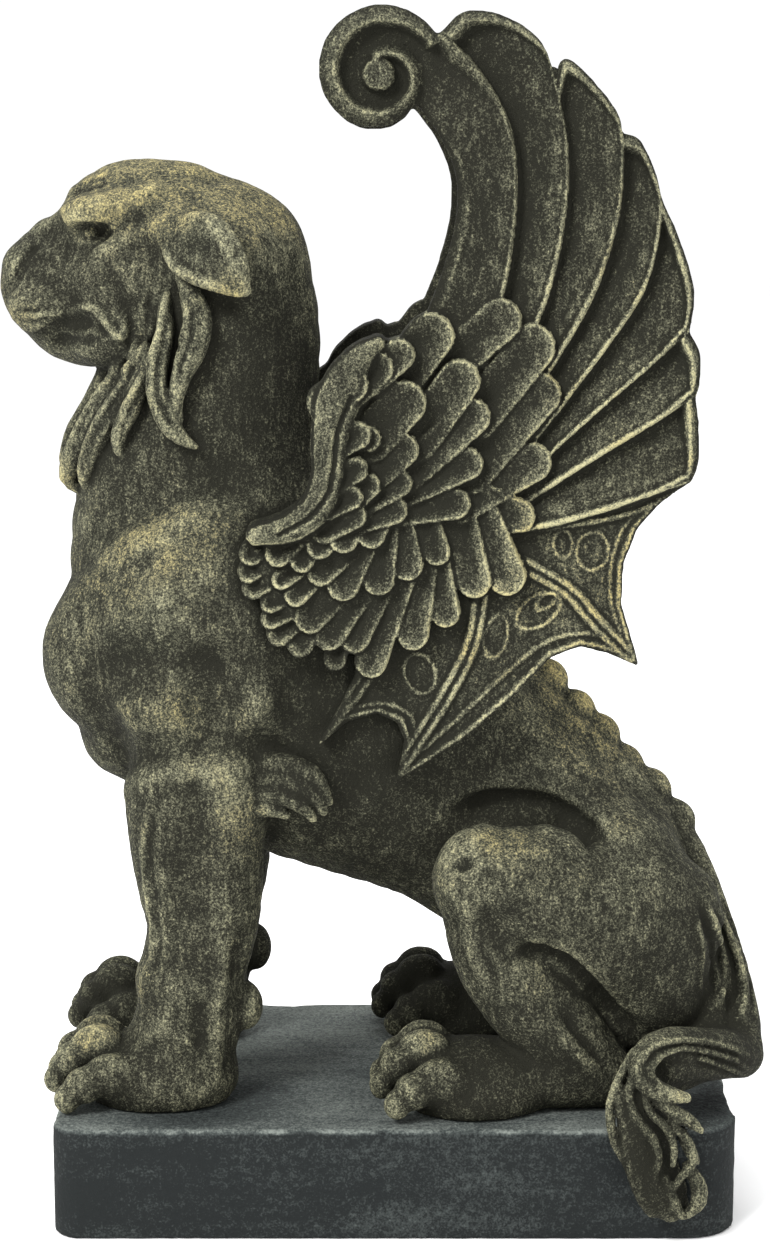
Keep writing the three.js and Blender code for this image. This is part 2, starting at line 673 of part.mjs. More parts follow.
// The plinth's block, grown by a margin all round and upwards.
function plinthBlock(margin) {
  const halfLength = PLINTH.length / 2 + margin;
  const halfWidth = PLINTH.width / 2 + margin;
  const shape = new THREE.Shape();
  const corners = [
    [halfLength, -halfWidth, PLINTH.tailCorner, -90],
    [halfLength, halfWidth, PLINTH.tailCorner, 0],
    [-halfLength, halfWidth, PLINTH.headCorner, 90],
    [-halfLength, -halfWidth, PLINTH.headCorner, 180],
  ];
  const rounded = corners.flatMap(([x, y, radius, start]) => {
    const centre = [x - Math.sign(x) * radius, y - Math.sign(y) * radius];
    return Array.from({ length: PLINTH.cornerSteps + 1 }, (_, i) => {
      const angle = THREE.MathUtils.degToRad(start + (90 * i) / PLINTH.cornerSteps);
      return new THREE.Vector2(centre[0] + radius * Math.cos(angle), centre[1] + radius * Math.sin(angle));
    });
  });
  shape.setFromPoints(rounded);
  return new THREE.ExtrudeGeometry(shape, { depth: PLINTH.height + margin, bevelEnabled: false });
}

async function figure() {
  const geometries = [
    tube(TRUNK, { sides: 20, rings: 22, domeRings: 3 }),
    tube(HEAD, { sides: 18, rings: 9, domeRings: 3 }),
    ...masses(HEAD_MASSES, 16, 10),
    ...masses(BODY_MASSES, 18, 11),
    ...masses({ DEWCLAW }, 10, 6),
    ...mane(),
    ...bothFlanks([...foreQuarter(), ...hindQuarter()]),
    ...backKnobs(),
    ...tail(),
    ...bothFlanks(wing()),
  ];
  const mouth = join(bothFlanks([tube(MOUTH, { sides: 8, rings: 8 })]).map(solidOf));
  const whole = join(geometries.map(solidOf)).subtract(solidOf(plinthBlock(GAP))).subtract(mouth);
  return filled(await simplified(filled(whole), FIGURE_TRIANGLES));
}

function piece(name, geometry, finish) {
  const mesh = new THREE.Mesh(geometry, new THREE.MeshStandardMaterial(finish));
  mesh.name = name;
  return mesh;
}

const statue = new THREE.Group();
statue.add(piece("gargoyle", parted(geometryOf(await figure())), OLIVE_STONE));
statue.add(piece("plinth", plinthBlock(0), SLATE_STONE));

export default statue;
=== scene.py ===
import math

import bpy
import numpy as np
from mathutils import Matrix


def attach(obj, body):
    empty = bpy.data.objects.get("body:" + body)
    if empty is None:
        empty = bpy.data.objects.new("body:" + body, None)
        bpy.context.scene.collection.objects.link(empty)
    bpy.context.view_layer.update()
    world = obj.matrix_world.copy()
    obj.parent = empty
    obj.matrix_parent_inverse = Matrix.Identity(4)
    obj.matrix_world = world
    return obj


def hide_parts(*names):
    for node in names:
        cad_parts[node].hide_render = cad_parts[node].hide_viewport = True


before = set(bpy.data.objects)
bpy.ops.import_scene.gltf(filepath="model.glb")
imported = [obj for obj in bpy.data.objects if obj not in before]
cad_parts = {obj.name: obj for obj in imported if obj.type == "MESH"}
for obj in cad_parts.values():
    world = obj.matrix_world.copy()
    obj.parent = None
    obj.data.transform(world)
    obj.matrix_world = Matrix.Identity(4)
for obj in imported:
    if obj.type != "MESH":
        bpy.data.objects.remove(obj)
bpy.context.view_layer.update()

MM = 0.001
FAR = 50.0  # distance kept where no form is near, in mm

# Camera, fitted to the photo: it stands level with the wings and looks down a little
CAMERA_PLACE = (-0.0027, -0.7371, 0.2911)
CAMERA_PITCH = 10.0
FOCAL_PIXELS = 2638.6
IMAGE_SIZE = (771, 1250)
SENSOR = 36.0


def look_from_the_photo():
    camera = bpy.data.cameras.new("camera")
    camera.sensor_width = SENSOR
    camera.lens = FOCAL_PIXELS / max(IMAGE_SIZE) * SENSOR
    holder = bpy.data.objects.new("camera", camera)
    holder.location = CAMERA_PLACE
    holder.rotation_euler = (math.radians(90.0 - CAMERA_PITCH), 0.0, 0.0)
    bpy.context.collection.objects.link(holder)
    bpy.context.scene.camera = holder


look_from_the_photo()

# Resolution of the fields, and the size of the finished meshes
STEP = 0.7
WING_STEP = 0.5
PLINTH_STEP = 0.9
BODY_TRIANGLES = 196000
WING_TRIANGLES = 196000
PLINTH_TRIANGLES = 40000

# Plinth, as in the frame
PLINTH = {"length": 188.0, "width": 110.0, "height": 31.2, "head_corner": 8.0, "tail_corner": 14.0}
GAP = 0.3
GRIT = 0.16  # how far the rough cast surface strays from the modelled one, in mm

# Trunk, head and limbs: stations are x, y, z, half depth, half width
TRUNK = [
    (67, 0, 44, 15, 22),
    (63, 0, 64, 22, 27),
    (53, 0, 88, 33, 29),
    (36, 0, 104, 36, 27),
    (20, 0, 116, 38, 27),
    (0, 0, 130, 45, 31),
    (-20, 0, 144, 52, 34),
    (-37.5, 0, 160, 55.5, 34),
    (-48.5, 0, 180, 44.5, 33),
    (-53, 0, 202, 36, 29),
    (-51, 0, 225, 30, 26),
    (-48, 0, 246, 27, 26),
    (-47, 0, 262, 22, 26),
    (-46, 0, 270, 15, 20),
]
HEAD = [
    (-103, 0, 257, 9, 6.5),
    (-98, 0, 257, 14.5, 10.5),
    (-90, 0, 257, 19, 13),
    (-81, 0, 260, 24, 16.5),
    (-71, 0, 263, 28, 20),
    (-60, 0, 265, 26, 23),
]
FORELEG = [
    (-50, -24, 150, 23, 13),
    (-54, -26, 128, 21, 14.5),
    (-55, -27, 108, 19, 14.5),
    (-54, -27.5, 92, 17.3, 13.5),
    (-53.5, -28, 82, 15.5, 12.5),
    (-56, -28, 70, 14.6, 12),
    (-56.5, -28, 60, 15, 13),
    (-59, -28, 50, 15, 13.5),
    (-62, -28, 41, 16, 13),
]
THIGH = [(72, -22, 76, 24, 18), (62, -27, 82, 24, 19), (50, -31, 88, 19, 18), (36, -34, 94, 17, 15.5), (24, -35, 96, 13.5, 12)]
SHANK = [(23, -34, 92, 11, 11), (28, -35, 76, 12.5, 11.5), (36, -36, 63, 12.5, 11), (47, -36, 51, 12, 10), (56, -36, 43, 9, 8.5)]
FOOT = [(59, -35, 40, 9, 8), (44, -35, 40, 9, 10), (28, -35, 41, 9.5, 12), (14, -35, 41, 9, 14)]

# Rounded masses: centre, radii, tilt in degrees about Y, and how softly each melts into the rest
MASSES = [
    ((-70, 0, 155), (29, 30, 25), -4, 5),
    ((-73, -13, 155), (25, 20, 25), -8, 6),
    ((-52, -17, 164), (31, 25, 34), 10, 6),
    ((-64, -24, 145.5), (16, 17, 14), 0, 5),
    ((-37, -24, 147), (12, 16.5, 12.5), 0, 5),
    ((-74.5, 0, 132), (15, 22, 14.5), 0, 5),
    ((-11, -13, 134), (34, 20.5, 36), 35, 6),
    ((61, -18, 85), (24, 25, 31), -12, 5),
    ((62, 0, 60), (22, 20, 30), 0, 4),
    ((70, -20, 66), (18, 20.5, 24), 0, 4),
]
MASSES_OF_HEAD = [
    ((-47, 0, 266), (22, 28, 18), 5, 4),
    ((-70, 0, 275.4), (14, 17, 12.6), 0, 5),
    ((-93, 0, 268), (16, 7.5, 7), -30, 3),
    ((-102, 0, 263), (6, 7, 5), 0, 2),
    ((-100, -5.5, 261), (5.5, 4, 4), 0, 2),
    ((-93, -7, 251.5), (13.5, 8.5, 9), 0, 2),
    ((-88, 0, 241), (13, 10.5, 6), 14, 2.5),
    ((-81, -11.5, 277), (11, 8, 5), -14, 3),
    ((-73, -13, 258), (15, 10, 12), 15, 5),
    ((-73, -10, 245), (17, 12, 10.5), -8, 4),
]
KNEE = ((24, -35, 96), (13.5, 12.5, 14), 0, 4)
BRIDGE_CUT = [(-97, -24, 283, 7.5), (-97.5, -12, 282.5, 7), (-97.5, 0, 282.4, 7)]
EAR_ROOT = ((-57, -21, 272), (9, 6, 6), 10, 4)
EAR = [(-60, -22, 271, 3, 3), (-56, -26, 270, 7.5, 3.6), (-50, -30, 268, 9, 3.6), (-44, -33, 263, 6, 3), (-40, -32, 257, 1.8, 1.8)]
# Locks of the mane, from the ear forwards to the beard: x, y, z, half width in the flank's plane, half thickness
LOCKS = [
    [(-58, -24, 264, 2, 2.5), (-55, -26, 256, 3, 3), (-53, -28, 249, 4, 3.4), (-54, -28.5, 242, 3.8, 3.4),
     (-57, -28.5, 235, 3, 3), (-59, -28.5, 228, 2, 2.4), (-58, -28, 222, 1, 1.2)],
    [(-62, -22, 254, 2, 3), (-62, -25, 245, 2.6, 3.4), (-64, -27, 236, 2.9, 3.4), (-64, -28, 229, 3, 3.4),
     (-61.5, -28.5, 222, 3, 3), (-58, -28.5, 217.5, 2.2, 2.4), (-54, -28, 215, 0.9, 1.2)],
    [(-67, -23, 240, 2.2, 3), (-69, -24, 232, 2.7, 3), (-72, -23.5, 224, 2.7, 3), (-75, -22.5, 218, 2.2, 2.6),
     (-75, -21.5, 213, 1.5, 2), (-72, -21, 210.5, 0.8, 1)],
    [(-69, -21, 240, 2.5, 3), (-72, -21, 231, 3.2, 3.4), (-78, -18.5, 222, 3.6, 3.4), (-83, -15.5, 213, 3.2, 3),
     (-85.5, -13.5, 206, 2.4, 2.4), (-85.3, -12.5, 201.5, 1, 1.2)],
    [(-74, -15, 238, 3, 3), (-76, -15, 231, 3.6, 3.6), (-81, -13, 223, 4, 3.6), (-86, -10, 215, 4, 3.4),
     (-90, -8, 208, 3.2, 3), (-91, -7, 203.5, 2.2, 2.2), (-88.5, -7, 200.5, 1, 1.2)],
    [(-78, -6, 236, 3.6, 4), (-82, -5, 226, 4, 4), (-88, -4, 216, 4, 3.8), (-91, -3, 208, 3, 3), (-91, -2, 203, 1.5, 2)],
]
DEWCLAW = ((-42, -28, 58), (5, 6, 7), 0, 1.5)
# The lumps of a toe, knuckle to claw: forwards, up, radii, and how much higher they are on the inner toes
TOE_LUMPS = [
    (1, -1.4, (7.4, 4.9, 6.2), 6),
    (-6, -3.8, (5.4, 4.8, 5.2), 4.4),
    (-10.6, -7.2, (3.6, 3.5, 4.1), 2.4),
]
TOES = {"count": 4, "pitch": 8, "fan": 0.15, "outer_setback": 4, "melt": 1.5, "crease": 0.6, "outer_crease": 3}
FORE_PAW = {"sole": (-66, -28, 38), "radii": (22, 16.5, 13), "toe": (-84, -28, 43)}
HIND_PAW = {"sole": (22, -35, 37), "radii": (20, 15.5, 12.5), "toe": (7, -35, 43.8)}
BACK_KNOBS = [(44, 146), (52, 137), (59, 130), (66, 121), (74, 114), (81, 105)]
KNOB_RADII = (6, 5, 5)
ELBOW_TUFTS = [
    [(-40, -30, 128, 4), (-29, -36, 128.5, 3.4), (-22, -38, 126, 2.6), (-18, -38, 119, 1.2)],
    [(-40, -31, 124, 4), (-29, -37, 124.5, 3.2), (-22, -38.5, 121, 2.4), (-19.5, -38, 116, 1.1)],
    [(-40, -31, 120, 4), (-31, -37, 120.5, 3), (-25.5, -38, 118, 2.3), (-22.5, -37, 114, 1.1)],
    [(-42, -31, 116, 4), (-34, -36, 117, 2.8), (-30, -36, 115, 1.6)],
]
MOUTH = [
    (-105, -3, 244, 0.8), (-99, -9, 243.5, 1.2), (-94, -13, 245, 2.1), (-90, -15.5, 246.6, 2.6), (-86, -17.5, 247.6, 2.5),
    (-82.5, -20, 247, 1.3),
]
# Strokes on the near flank, which the far one mirrors: radius of the tool, depth or height, and x, z along it
HEAD_GROOVES = [
    (1.3, 0.9, [(-90, 281), (-84, 283.5), (-78, 285)]),
    (1.0, 0.7, [(-87, 283.5), (-82, 285.5), (-77, 287)]),
    (5.0, 1.6, [(-97, 270), (-92, 271.5), (-87, 271)]),
    (1.3, 1.3, [(-97.5, 268), (-101, 265), (-103, 261.5), (-104, 258.5)]),
    (2.0, 0.9, [(-104.5, 257), (-102.5, 262), (-99, 264), (-95, 264.5), (-91, 262)]),
    (0.6, 0.7, [(-104, 250.3), (-98, 250.5), (-93, 251.6), (-90, 250.6)]),
    (0.5, 0.4, [(-104, 248), (-98, 248.2), (-93, 249)]),
    (2.4, 1.6, [(-94, 242.5), (-88, 242.5), (-81, 243.5)]),
    (1.5, 1.0, [(-81, 247.8), (-79, 245.5), (-77, 245)]),
    (3.0, 1.0, [(-77, 262), (-74, 256), (-71, 250), (-70, 243)]),
    (0.7, 0.6, [(-72, 251), (-69, 243), (-68.5, 236), (-70, 230)]),
    (0.7, 0.6, [(-75, 247), (-71.5, 240), (-71.5, 234), (-74, 228)]),
    (0.6, 0.5, [(-66, 252), (-65, 244), (-66, 237)]),
    (4.0, 0.7, [(-57, 287), (-48, 285.5), (-38, 285.5), (-32, 282)]),
    (14.0, 1.0, [(-38, 279), (-31, 272), (-28, 258), (-27, 244)]),
    (3.5, 2.4, [(-58, 257.5), (-51, 254.5), (-43, 252)]),
    (1.0, 2.2, [(-62.5, 271.5), (-61.5, 267), (-58.5, 262)]),
]
HEAD_RIDGES = [
    (4.4, 2.4, [(-89, 278.5), (-84, 277.5), (-79, 277.5), (-73, 279.5), (-67, 281.5), (-61, 282)]),
    (1.0, 0.9, [(-87, 269.5), (-82, 268.6), (-78.5, 270), (-76.5, 273), (-74, 275.5)]),
    (1.3, 1.4, [(-88.5, 250.3), (-85, 251.8), (-81.5, 251.6), (-79, 249), (-77, 246.3), (-75, 244.2), (-73.4, 244.8),
                (-73.6, 247.5), (-75.5, 250.5)]),
    (1.0, 0.7, [(-103, 249.2), (-98, 249.4), (-93, 250.3), (-89, 250.3)]),
    (3.0, 1.2, [(-79, 266), (-74, 270), (-68, 272)]),
    (2.4, 1.2, [(-64, 272), (-62, 277), (-57, 279)]),
]
EAR_HOLLOW = [(4.5, 1.3, [(-57, 270), (-51, 268), (-46.5, 263)])]
EAR_RIDGES = [(1.6, 0.7, [(-58, 276), (-51, 276), (-46.5, 271.5), (-42.5, 264)])]
EAR_RIM = [
    (-62, -23, 270.5, 1.2), (-60, -27, 264.8, 1.6), (-55, -31, 261, 1.9), (-48, -33.5, 258.4, 1.8), (-41.5, -33, 256.4, 1.3),
]
EYE = {"socket": ((-81.8, 272.3), (6.4, 5, 3.4), 4.0), "ball": ((-83, 271.3), (2.9, 2.9, 2.7), 1.0)}
# Fine strands from under the ear along the jaw into the beard
HAIR = [
    (1.2, 1.0, [(-62.5, 266), (-64, 256), (-65.5, 247), (-69, 240), (-76, 232), (-83, 222), (-89, 210)]),
    (1.1, 0.9, [(-60, 262), (-62, 253), (-64, 244), (-67, 237), (-71, 229), (-76, 220)]),
    (1.1, 0.8, [(-66, 262), (-68, 253), (-69, 244), (-73, 238), (-81, 229), (-88, 218), (-91, 209)]),
    (1.0, 0.6, [(-71, 253), (-70, 244), (-75, 237), (-82, 233)]),
    (0.9, 0.7, [(-55, 256), (-56, 249), (-58, 241), (-59, 233), (-59, 226)]),
]
LOCK_GROOVES = [
    (0.8, 0.9, [(-57, 258), (-54, 250), (-55.5, 242), (-58.5, 234), (-59, 227)]),
    (0.7, 0.5, [(-52.5, 252), (-52, 245), (-54.5, 238)]),
    (0.9, 1.2, [(-61.5, 250), (-62, 243), (-63.5, 236), (-63.5, 229), (-60.5, 222.5), (-57, 218)]),
    (0.6, 0.5, [(-67, 234), (-70.5, 226), (-74, 219), (-74.5, 214)]),
    (0.8, 0.9, [(-72, 233), (-78, 224), (-83.5, 214), (-85.5, 206)]),
    (0.6, 0.6, [(-71, 228), (-76, 221), (-81, 213)]),
    (0.8, 0.8, [(-76, 232), (-81, 225), (-86.5, 216), (-90, 208)]),
    (0.6, 0.5, [(-74, 229), (-79, 220), (-84, 213)]),
    (0.7, 0.8, [(-71.5, 247), (-72, 240), (-76.6, 231.7), (-83.5, 225), (-88.4, 216), (-90.6, 207)]),
    (0.7, 0.8, [(-69.4, 244), (-70.6, 236), (-75.6, 227.6), (-80.8, 221), (-84.3, 214.6), (-86.5, 206.5)]),
    (0.7, 0.7, [(-67.8, 240), (-71.2, 231), (-76.8, 223.4), (-82.5, 216.8), (-84.4, 208.5)]),
    (0.6, 0.6, [(-65.7, 236.3), (-67.4, 230), (-71.9, 223.7), (-74.5, 217.4)]),
    (0.7, 0.8, [(-74.4, 236), (-80, 227.3), (-86.6, 218.5), (-90.6, 211)]),
]
NECK_GROOVES = [
    (10.0, 2.0, [(-80, 193), (-67, 201), (-55, 205.5), (-44, 206)]),
    (9.0, 0.8, [(-44, 206), (-50, 212), (-57, 213)]),
]
CHEST_GROOVES = [
    (12.0, 2.0, [(-90, 158), (-80, 156), (-68, 158.5), (-54, 157), (-42, 158)]),
    (9.0, 2.6, [(-51.5, 157), (-50.5, 149), (-50, 138)]),
    (11.0, 2.0, [(-27, 160), (-24, 148), (-21, 136)]),
    (5.0, 2.0, [(-80, 127.5), (-70, 131), (-58, 133.5), (-46, 133.5), (-32, 133)]),
    (9.0, 1.2, [(-84, 149), (-80, 143), (-76, 136)]),
    (0.5, 0.5, [(-60, 137.5), (-53, 139.5), (-47, 136.5)]),
    (0.5, 0.5, [(-56, 135), (-48, 137), (-42, 136)]),
    (0.5, 0.5, [(-45, 137.5), (-36, 138.5), (-28, 137)]),
    (0.5, 0.4, [(-42, 135), (-34, 136), (-27, 135)]),
    (10.0, 0.9, [(-20, 108), (-12, 118), (-4, 128)]),
    (10.0, 0.9, [(-8, 104), (0, 114), (10, 122)]),
]
CHEST_RIDGES = [
    (7.0, 1.6, [(-88, 172), (-78, 182), (-67, 189.5), (-56, 194.5), (-44, 195.5)]),
    (12.0, 1.2, [(-78, 168), (-68, 174), (-56, 182)]),
]
FORELEG_GROOVES = [
    (9.0, 1.5, [(-53, 124), (-54, 110), (-55, 96), (-54.5, 82), (-54, 70)]),
    (1.2, 0.5, [(-64, 122), (-67, 106), (-66, 92), (-65, 78), (-67, 62)]),
    (3.4, 2.0, [(-54.5, 64), (-54, 57), (-53, 49)]),
    (3.0, 1.2, [(-42, 80), (-44.5, 70), (-43.5, 60)]),
    (4.0, 0.8, [(-61, 104), (-60, 90), (-61, 74)]),
]
FORELEG_RIDGES = [
    (4.0, 0.8, [(-75, 119), (-68, 125), (-58, 128), (-46, 128.5), (-34, 129)]),
    (1.3, 0.8, [(-66.5, 123), (-69, 105), (-68, 89), (-67, 78), (-70, 58)]),
    (7.0, 1.6, [(-46, 126), (-41, 119), (-38, 112)]),
    (7.0, 0.8, [(-70, 66), (-60, 67), (-50, 66)]),
    (2.4, 1.0, [(-47, 74), (-49, 62), (-49, 50), (-50, 40)]),
    (3.0, 0.8, [(-63, 60), (-66, 54), (-71, 50)]),
]
HAUNCH_GROOVES = [
    (2.9, 3.6, [(31, 77.5), (38, 78.5), (45, 76), (52, 69), (59, 60), (65, 52), (68, 47)]),
    (4.6, 6.0, [(18, 112.8), (27, 114.8), (38, 114.4), (48, 111.2), (57, 106.6)]),
    (6.0, 1.2, [(38, 147), (46, 137), (55, 129), (64, 121), (72, 112)]),
    (0.6, 0.5, [(32, 94), (36, 93.5), (40, 95)]),
    (3.0, 0.8, [(24, 92), (26, 84), (31, 78)]),
    (1.4, 0.6, [(16, 88), (18, 80), (22, 70)]),
    (1.2, 0.5, [(22, 88), (24, 80), (28, 70)]),
    (2.2, 1.2, [(46, 62), (51, 54), (57, 47)]),
    (4.0, 1.2, [(64, 58), (70, 52), (76, 50)]),
]
HAUNCH_RIDGES = [
    (5.0, 1.1, [(13, 100), (16, 107), (24, 111), (34, 112), (46, 109), (56, 105)]),
    (2.0, 1.1, [(42, 61), (46, 55), (51, 49), (56, 44)]),
    (2.4, 0.7, [(19, 92), (20, 80), (25, 68)]),
]
KNEE_PIT = ((17.5, 103.5), (3.8, 2, 2.6), 1.2)
TAIL_STRANDS = [
    [(78, 0, 104, 6), (84, -5, 91, 7), (91, -12, 75, 6), (96, -19, 58, 6), (96, -29, 46, 6.5), (86, -40, 47, 6.5)],
    [(76, -6, 98, 6), (81, -13, 84, 6), (85, -20, 68, 6), (88, -27, 52, 6), (84, -36, 46, 7), (76, -45, 44, 5.5)],
    [(84, -5, 88, 6), (91, -14, 66, 6), (96, -22, 52, 6), (93, -33, 45.5, 5.5), (83, -44, 47.5, 5.5), (74, -52, 49, 5)],
]
TAIL_BAND = [
    (97, -30, 44, 6.5, 6), (90, -38, 48, 6.3, 6), (82, -46, 52.3, 5, 5), (74, -53, 55.6, 4.2, 4.4), (68, -57.5, 54.6, 3.8, 3.8),
    (65.8, -60, 50.2, 3.6, 3.4), (68, -61, 46.4, 3.2, 2.8), (73, -61.5, 44.2, 2.6, 2.2), (78, -61, 42.8, 1.6, 1.5),
]
TAIL_GROOVES = [
    (1.3, 1.5, [(84, 88), (87.5, 78), (89, 68), (88.5, 60)]),
    (1.0, 1.2, [(88.5, 86), (92.8, 76), (95.4, 68), (95.3, 60), (92, 55)]),
    (0.9, 1.0, [(93, 84), (99, 70), (101, 60), (99.5, 53)]),
    (0.8, 1.0, [(99, 43), (93.2, 48.8), (84.6, 53.4), (76.2, 56.2), (69.8, 55.4), (66.8, 51), (69, 47.4)]),
    (0.8, 0.9, [(98, 40.6), (93.4, 45.8), (85.2, 50.6), (78, 53.6), (72.5, 52.6)]),
    (0.8, 0.9, [(96.5, 38.8), (91.6, 43.4), (84.8, 48.2), (80, 50.6)]),
]
TAIL_RIDGES = [
    (1.2, 1.3, [(85, 91), (88.4, 82.6), (91.1, 74.6), (92.7, 67.6), (91.5, 60.6), (88, 57)]),
    (1.1, 1.2, [(90, 86), (94.5, 75.3), (97.2, 68.2), (98.4, 61.2), (96.7, 55.1), (92, 53)]),
    (0.9, 0.9, [(82.5, 88), (84.9, 75.5), (84.7, 68.4), (85.4, 60.5)]),
    (0.9, 0.9, [(100, 45.2), (92.6, 50.8), (84, 55), (75.5, 57.6), (68.5, 56.8), (64.8, 52.6), (65.3, 48.6)]),
    (0.9, 0.9, [(99, 41.8), (93.5, 47.2), (85, 52), (77, 54.9), (71, 53.9), (68.6, 50), (71.6, 46.6), (76, 44.2)]),
    (0.8, 0.8, [(97, 39.8), (92.4, 44.5), (85, 49.4), (79, 52)]),
]
# The tassel hangs over the plinth's front: a flat core and the locks on it, x, y, z and half thickness
TASSEL_CORE = [
    (76, -46, 48, 7, 7), (66, -54, 44, 7, 5.4), (68, -57, 32, 9.5, 3.6), (71, -57, 22, 10.5, 3.6), (74, -57, 14, 9.5, 3.6), (76, -57, 10, 5, 3.2),
]
TASSEL_LOCKS = [
    [(64, -57.5, 55, 1), (60, -60, 48, 1.2), (57.6, -60.5, 40, 1.2), (59, -61, 31, 1.4), (63, -61.5, 23, 1.3), (65, -61.4, 17, 1.2),
     (68, -61, 11, 1)],
    [(64.8, -60.5, 52, 1), (62.6, -61.2, 44, 1.4), (65.3, -61.9, 36.5, 1.5), (69.6, -62, 31, 1.4), (70.8, -61.9, 25.5, 1.3),
     (69.6, -61.8, 20.5, 1.3), (72.5, -61.5, 15.5, 1)],
    [(73, -61.4, 42, 1), (75.2, -61.7, 35.3, 1.2), (79.3, -61.4, 30, 1.3), (80.3, -61.2, 24.6, 1.2), (77, -61.6, 20.5, 1.2),
     (73.8, -61.6, 15.5, 1)],
    [(60.4, -60, 46, 0.9), (60.4, -61.2, 39, 1.2), (62.4, -61.8, 33, 1.3), (64, -61.8, 27, 1.2), (64.6, -61.6, 22, 0.8)],
    [(66.2, -61.4, 47, 1), (68.2, -61.8, 39.5, 1.2), (72.6, -61.9, 35, 1.2), (75, -61.8, 29.5, 1.1), (74.8, -61.6, 24, 0.8)],
    [(66.4, -61.2, 33, 0.9), (66.7, -61.7, 27, 1.2), (68, -61.7, 21, 1.2), (69.4, -61.4, 14, 0.9)],
    [(68, -60.5, 46, 1.4), (71, -61, 42, 1.9), (75, -61.3, 39, 2.1), (79, -61.2, 36.5, 1.9), (82.4, -60.6, 33.4, 0.9)],
    [(77, -60, 33, 1.6), (79.4, -60.2, 28, 1.8), (81.4, -60.4, 24.6, 1)],
    [(79, -59.8, 23, 1.6), (82, -60, 17.5, 2.3), (82, -60, 12.5, 2.1), (79, -60, 9.4, 1.3)],
    [(73, -60.6, 20, 1.2), (75, -61.2, 14, 1.8), (77.6, -60.6, 9.4, 1.2)],
    [(67, -60, 18, 1), (69, -61, 12.6, 1.6), (72.6, -60.6, 9, 1.1)],
]
TASSEL_GROOVES = [
    (0.8, 0.4, [(64.4, 43), (66, 39), (69.6, 34.4), (73, 30), (73.4, 24), (71.8, 18)]),
    (0.8, 0.4, [(70.6, 42), (73.2, 38), (77, 34), (78, 28), (77.6, 24)]),
    (0.6, 0.6, [(80.5, 19), (80.2, 15), (77.4, 11)]),
]


# Where the olive wash is thickest (or, below nought, thinnest) on both flanks, with painted light on the top of the
# head and painted shade in the crease above the thigh and in the mouth's corner among them: x, y, z, reach, strength
WASH_LIGHT_AND_SHADE_SPOTS = [
    (-84, 34, 51, 10, 0.7),
    (-78, 40, 34, 12, -0.6),
    (10, 44, 52, 8, 0.9),
    (16, 44, 38, 20, -1.0),
    (18, 44, 104, 16, 0.5),
    (32, 44, 108, 10, 0.5),
    (38, 46, 72, 9, 0.5),
    (62, 36, 112, 8, 0.6),
    # painted shade along the crease above the thigh
    (24, 30, 118, 8, -1.0),
    (38, 30, 117, 8, -1.1),
    (50, 30, 112, 7, -1.1),
    (27, 44, 97, 7, -0.5),
    (-70, 30, 62, 14, 0.3),
    (-40, 42, 118, 14, 0.8),
    (-59, 42, 146, 14, 0.7),
    (-74, 36, 157, 8, -0.5),
    (-56, 38, 159, 8, -0.5),
    (-27, 40, 121, 10, -0.8),
    (-40, 40, 146, 10, 0.4),
    (-92, 12, 170, 30, 0.4),
    (-60, 40, 185, 25, 0.3),
    (-70, 32, 190, 12, 0.4),
    (-52, 34, 197, 10, 0.4),
    (-74, 24, 204, 12, -0.3),
    # painted light on the top of the head, as if lit from above
    (-60, 6, 286, 30, 0.9),
    (-40, 10, 284, 20, 0.9),
    (-84, 12, 280, 12, 0.3),
    (-100, 6, 252, 12, 0.35),
    (-95, 8, 268, 8, -0.5),
    # painted shade in the mouth's corner
    (-89, 16, 246.5, 5, -1.0),
    (-44, 34, 258, 6, 0.8),
    (-56, 28, 225, 14, 0.4),
    (-88, 8, 206, 10, 0.3),
    (75, 61, 43, 6, 1.2),
    (68, 60, 28, 26, -1.3),
    (92, 40, 48, 16, -0.9),
    (56, 0, 140, 30, 0.9),
    (45, 40, 175, 34, 0.5),
    (-35, 30, 240, 26, -0.45),
    (-50, 28, 215, 14, -0.4),
    (-14, 40, 130, 22, -0.7),
    (5, 30, 108, 26, -0.3),
    (46, 36, 74, 16, -0.2),
    (-4, 40, 200, 30, -0.6),
    (8, 36, 285, 34, -0.5),
    (-94, 0, 38, 12, -0.5),
]


# Painted shadow on the plinth's top, under the tail, by the paws and under the body: x, y, reach and strength
PLINTH_SHADOW_SPOTS = [
    (88, -34, 16, 0.8),
    (-60, -46, 14, 0.5),
    (-44, -34, 16, 0.5),
    (-4, -6, 16, 0.35),
    (24, -52, 14, 0.4),
]


# Curves and noise


def curve(points, count):
    """A Catmull-Rom curve through points of any width, read at evenly spaced lengths."""
    points = np.array(points, float)
    padded = np.vstack([2 * points[0] - points[1], points, 2 * points[-1] - points[-2]])
    fine = []
    for i in range(len(points) - 1):
        p0, p1, p2, p3 = padded[i : i + 4]
        t = np.linspace(0, 1, 24, endpoint=False)[:, None]
        fine.append(0.5 * (2 * p1 + (p2 - p0) * t + (2 * p0 - 5 * p1 + 4 * p2 - p3) * t**2 + (3 * p1 - p0 - 3 * p2 + p3) * t**3))
    fine = np.vstack([*fine, points[-1:]])
    run = np.concatenate([[0], np.cumsum(np.linalg.norm(np.diff(fine[:, : min(3, fine.shape[1])], axis=0), axis=1))])
    places = np.linspace(0, run[-1], count)
    return np.stack([np.interp(places, run, fine[:, i]) for i in range(fine.shape[1])], axis=1)


def smooth_min(a, b, blend):
    if blend <= 0:
        return np.minimum(a, b)
    overlap = np.maximum(blend - np.abs(a - b), 0) / blend
    return np.minimum(a, b) - overlap**2 * blend * 0.25


def smooth_step(value, low, high):
    t = np.clip((value - low) / (high - low), 0, 1)
    return t * t * (3 - 2 * t)


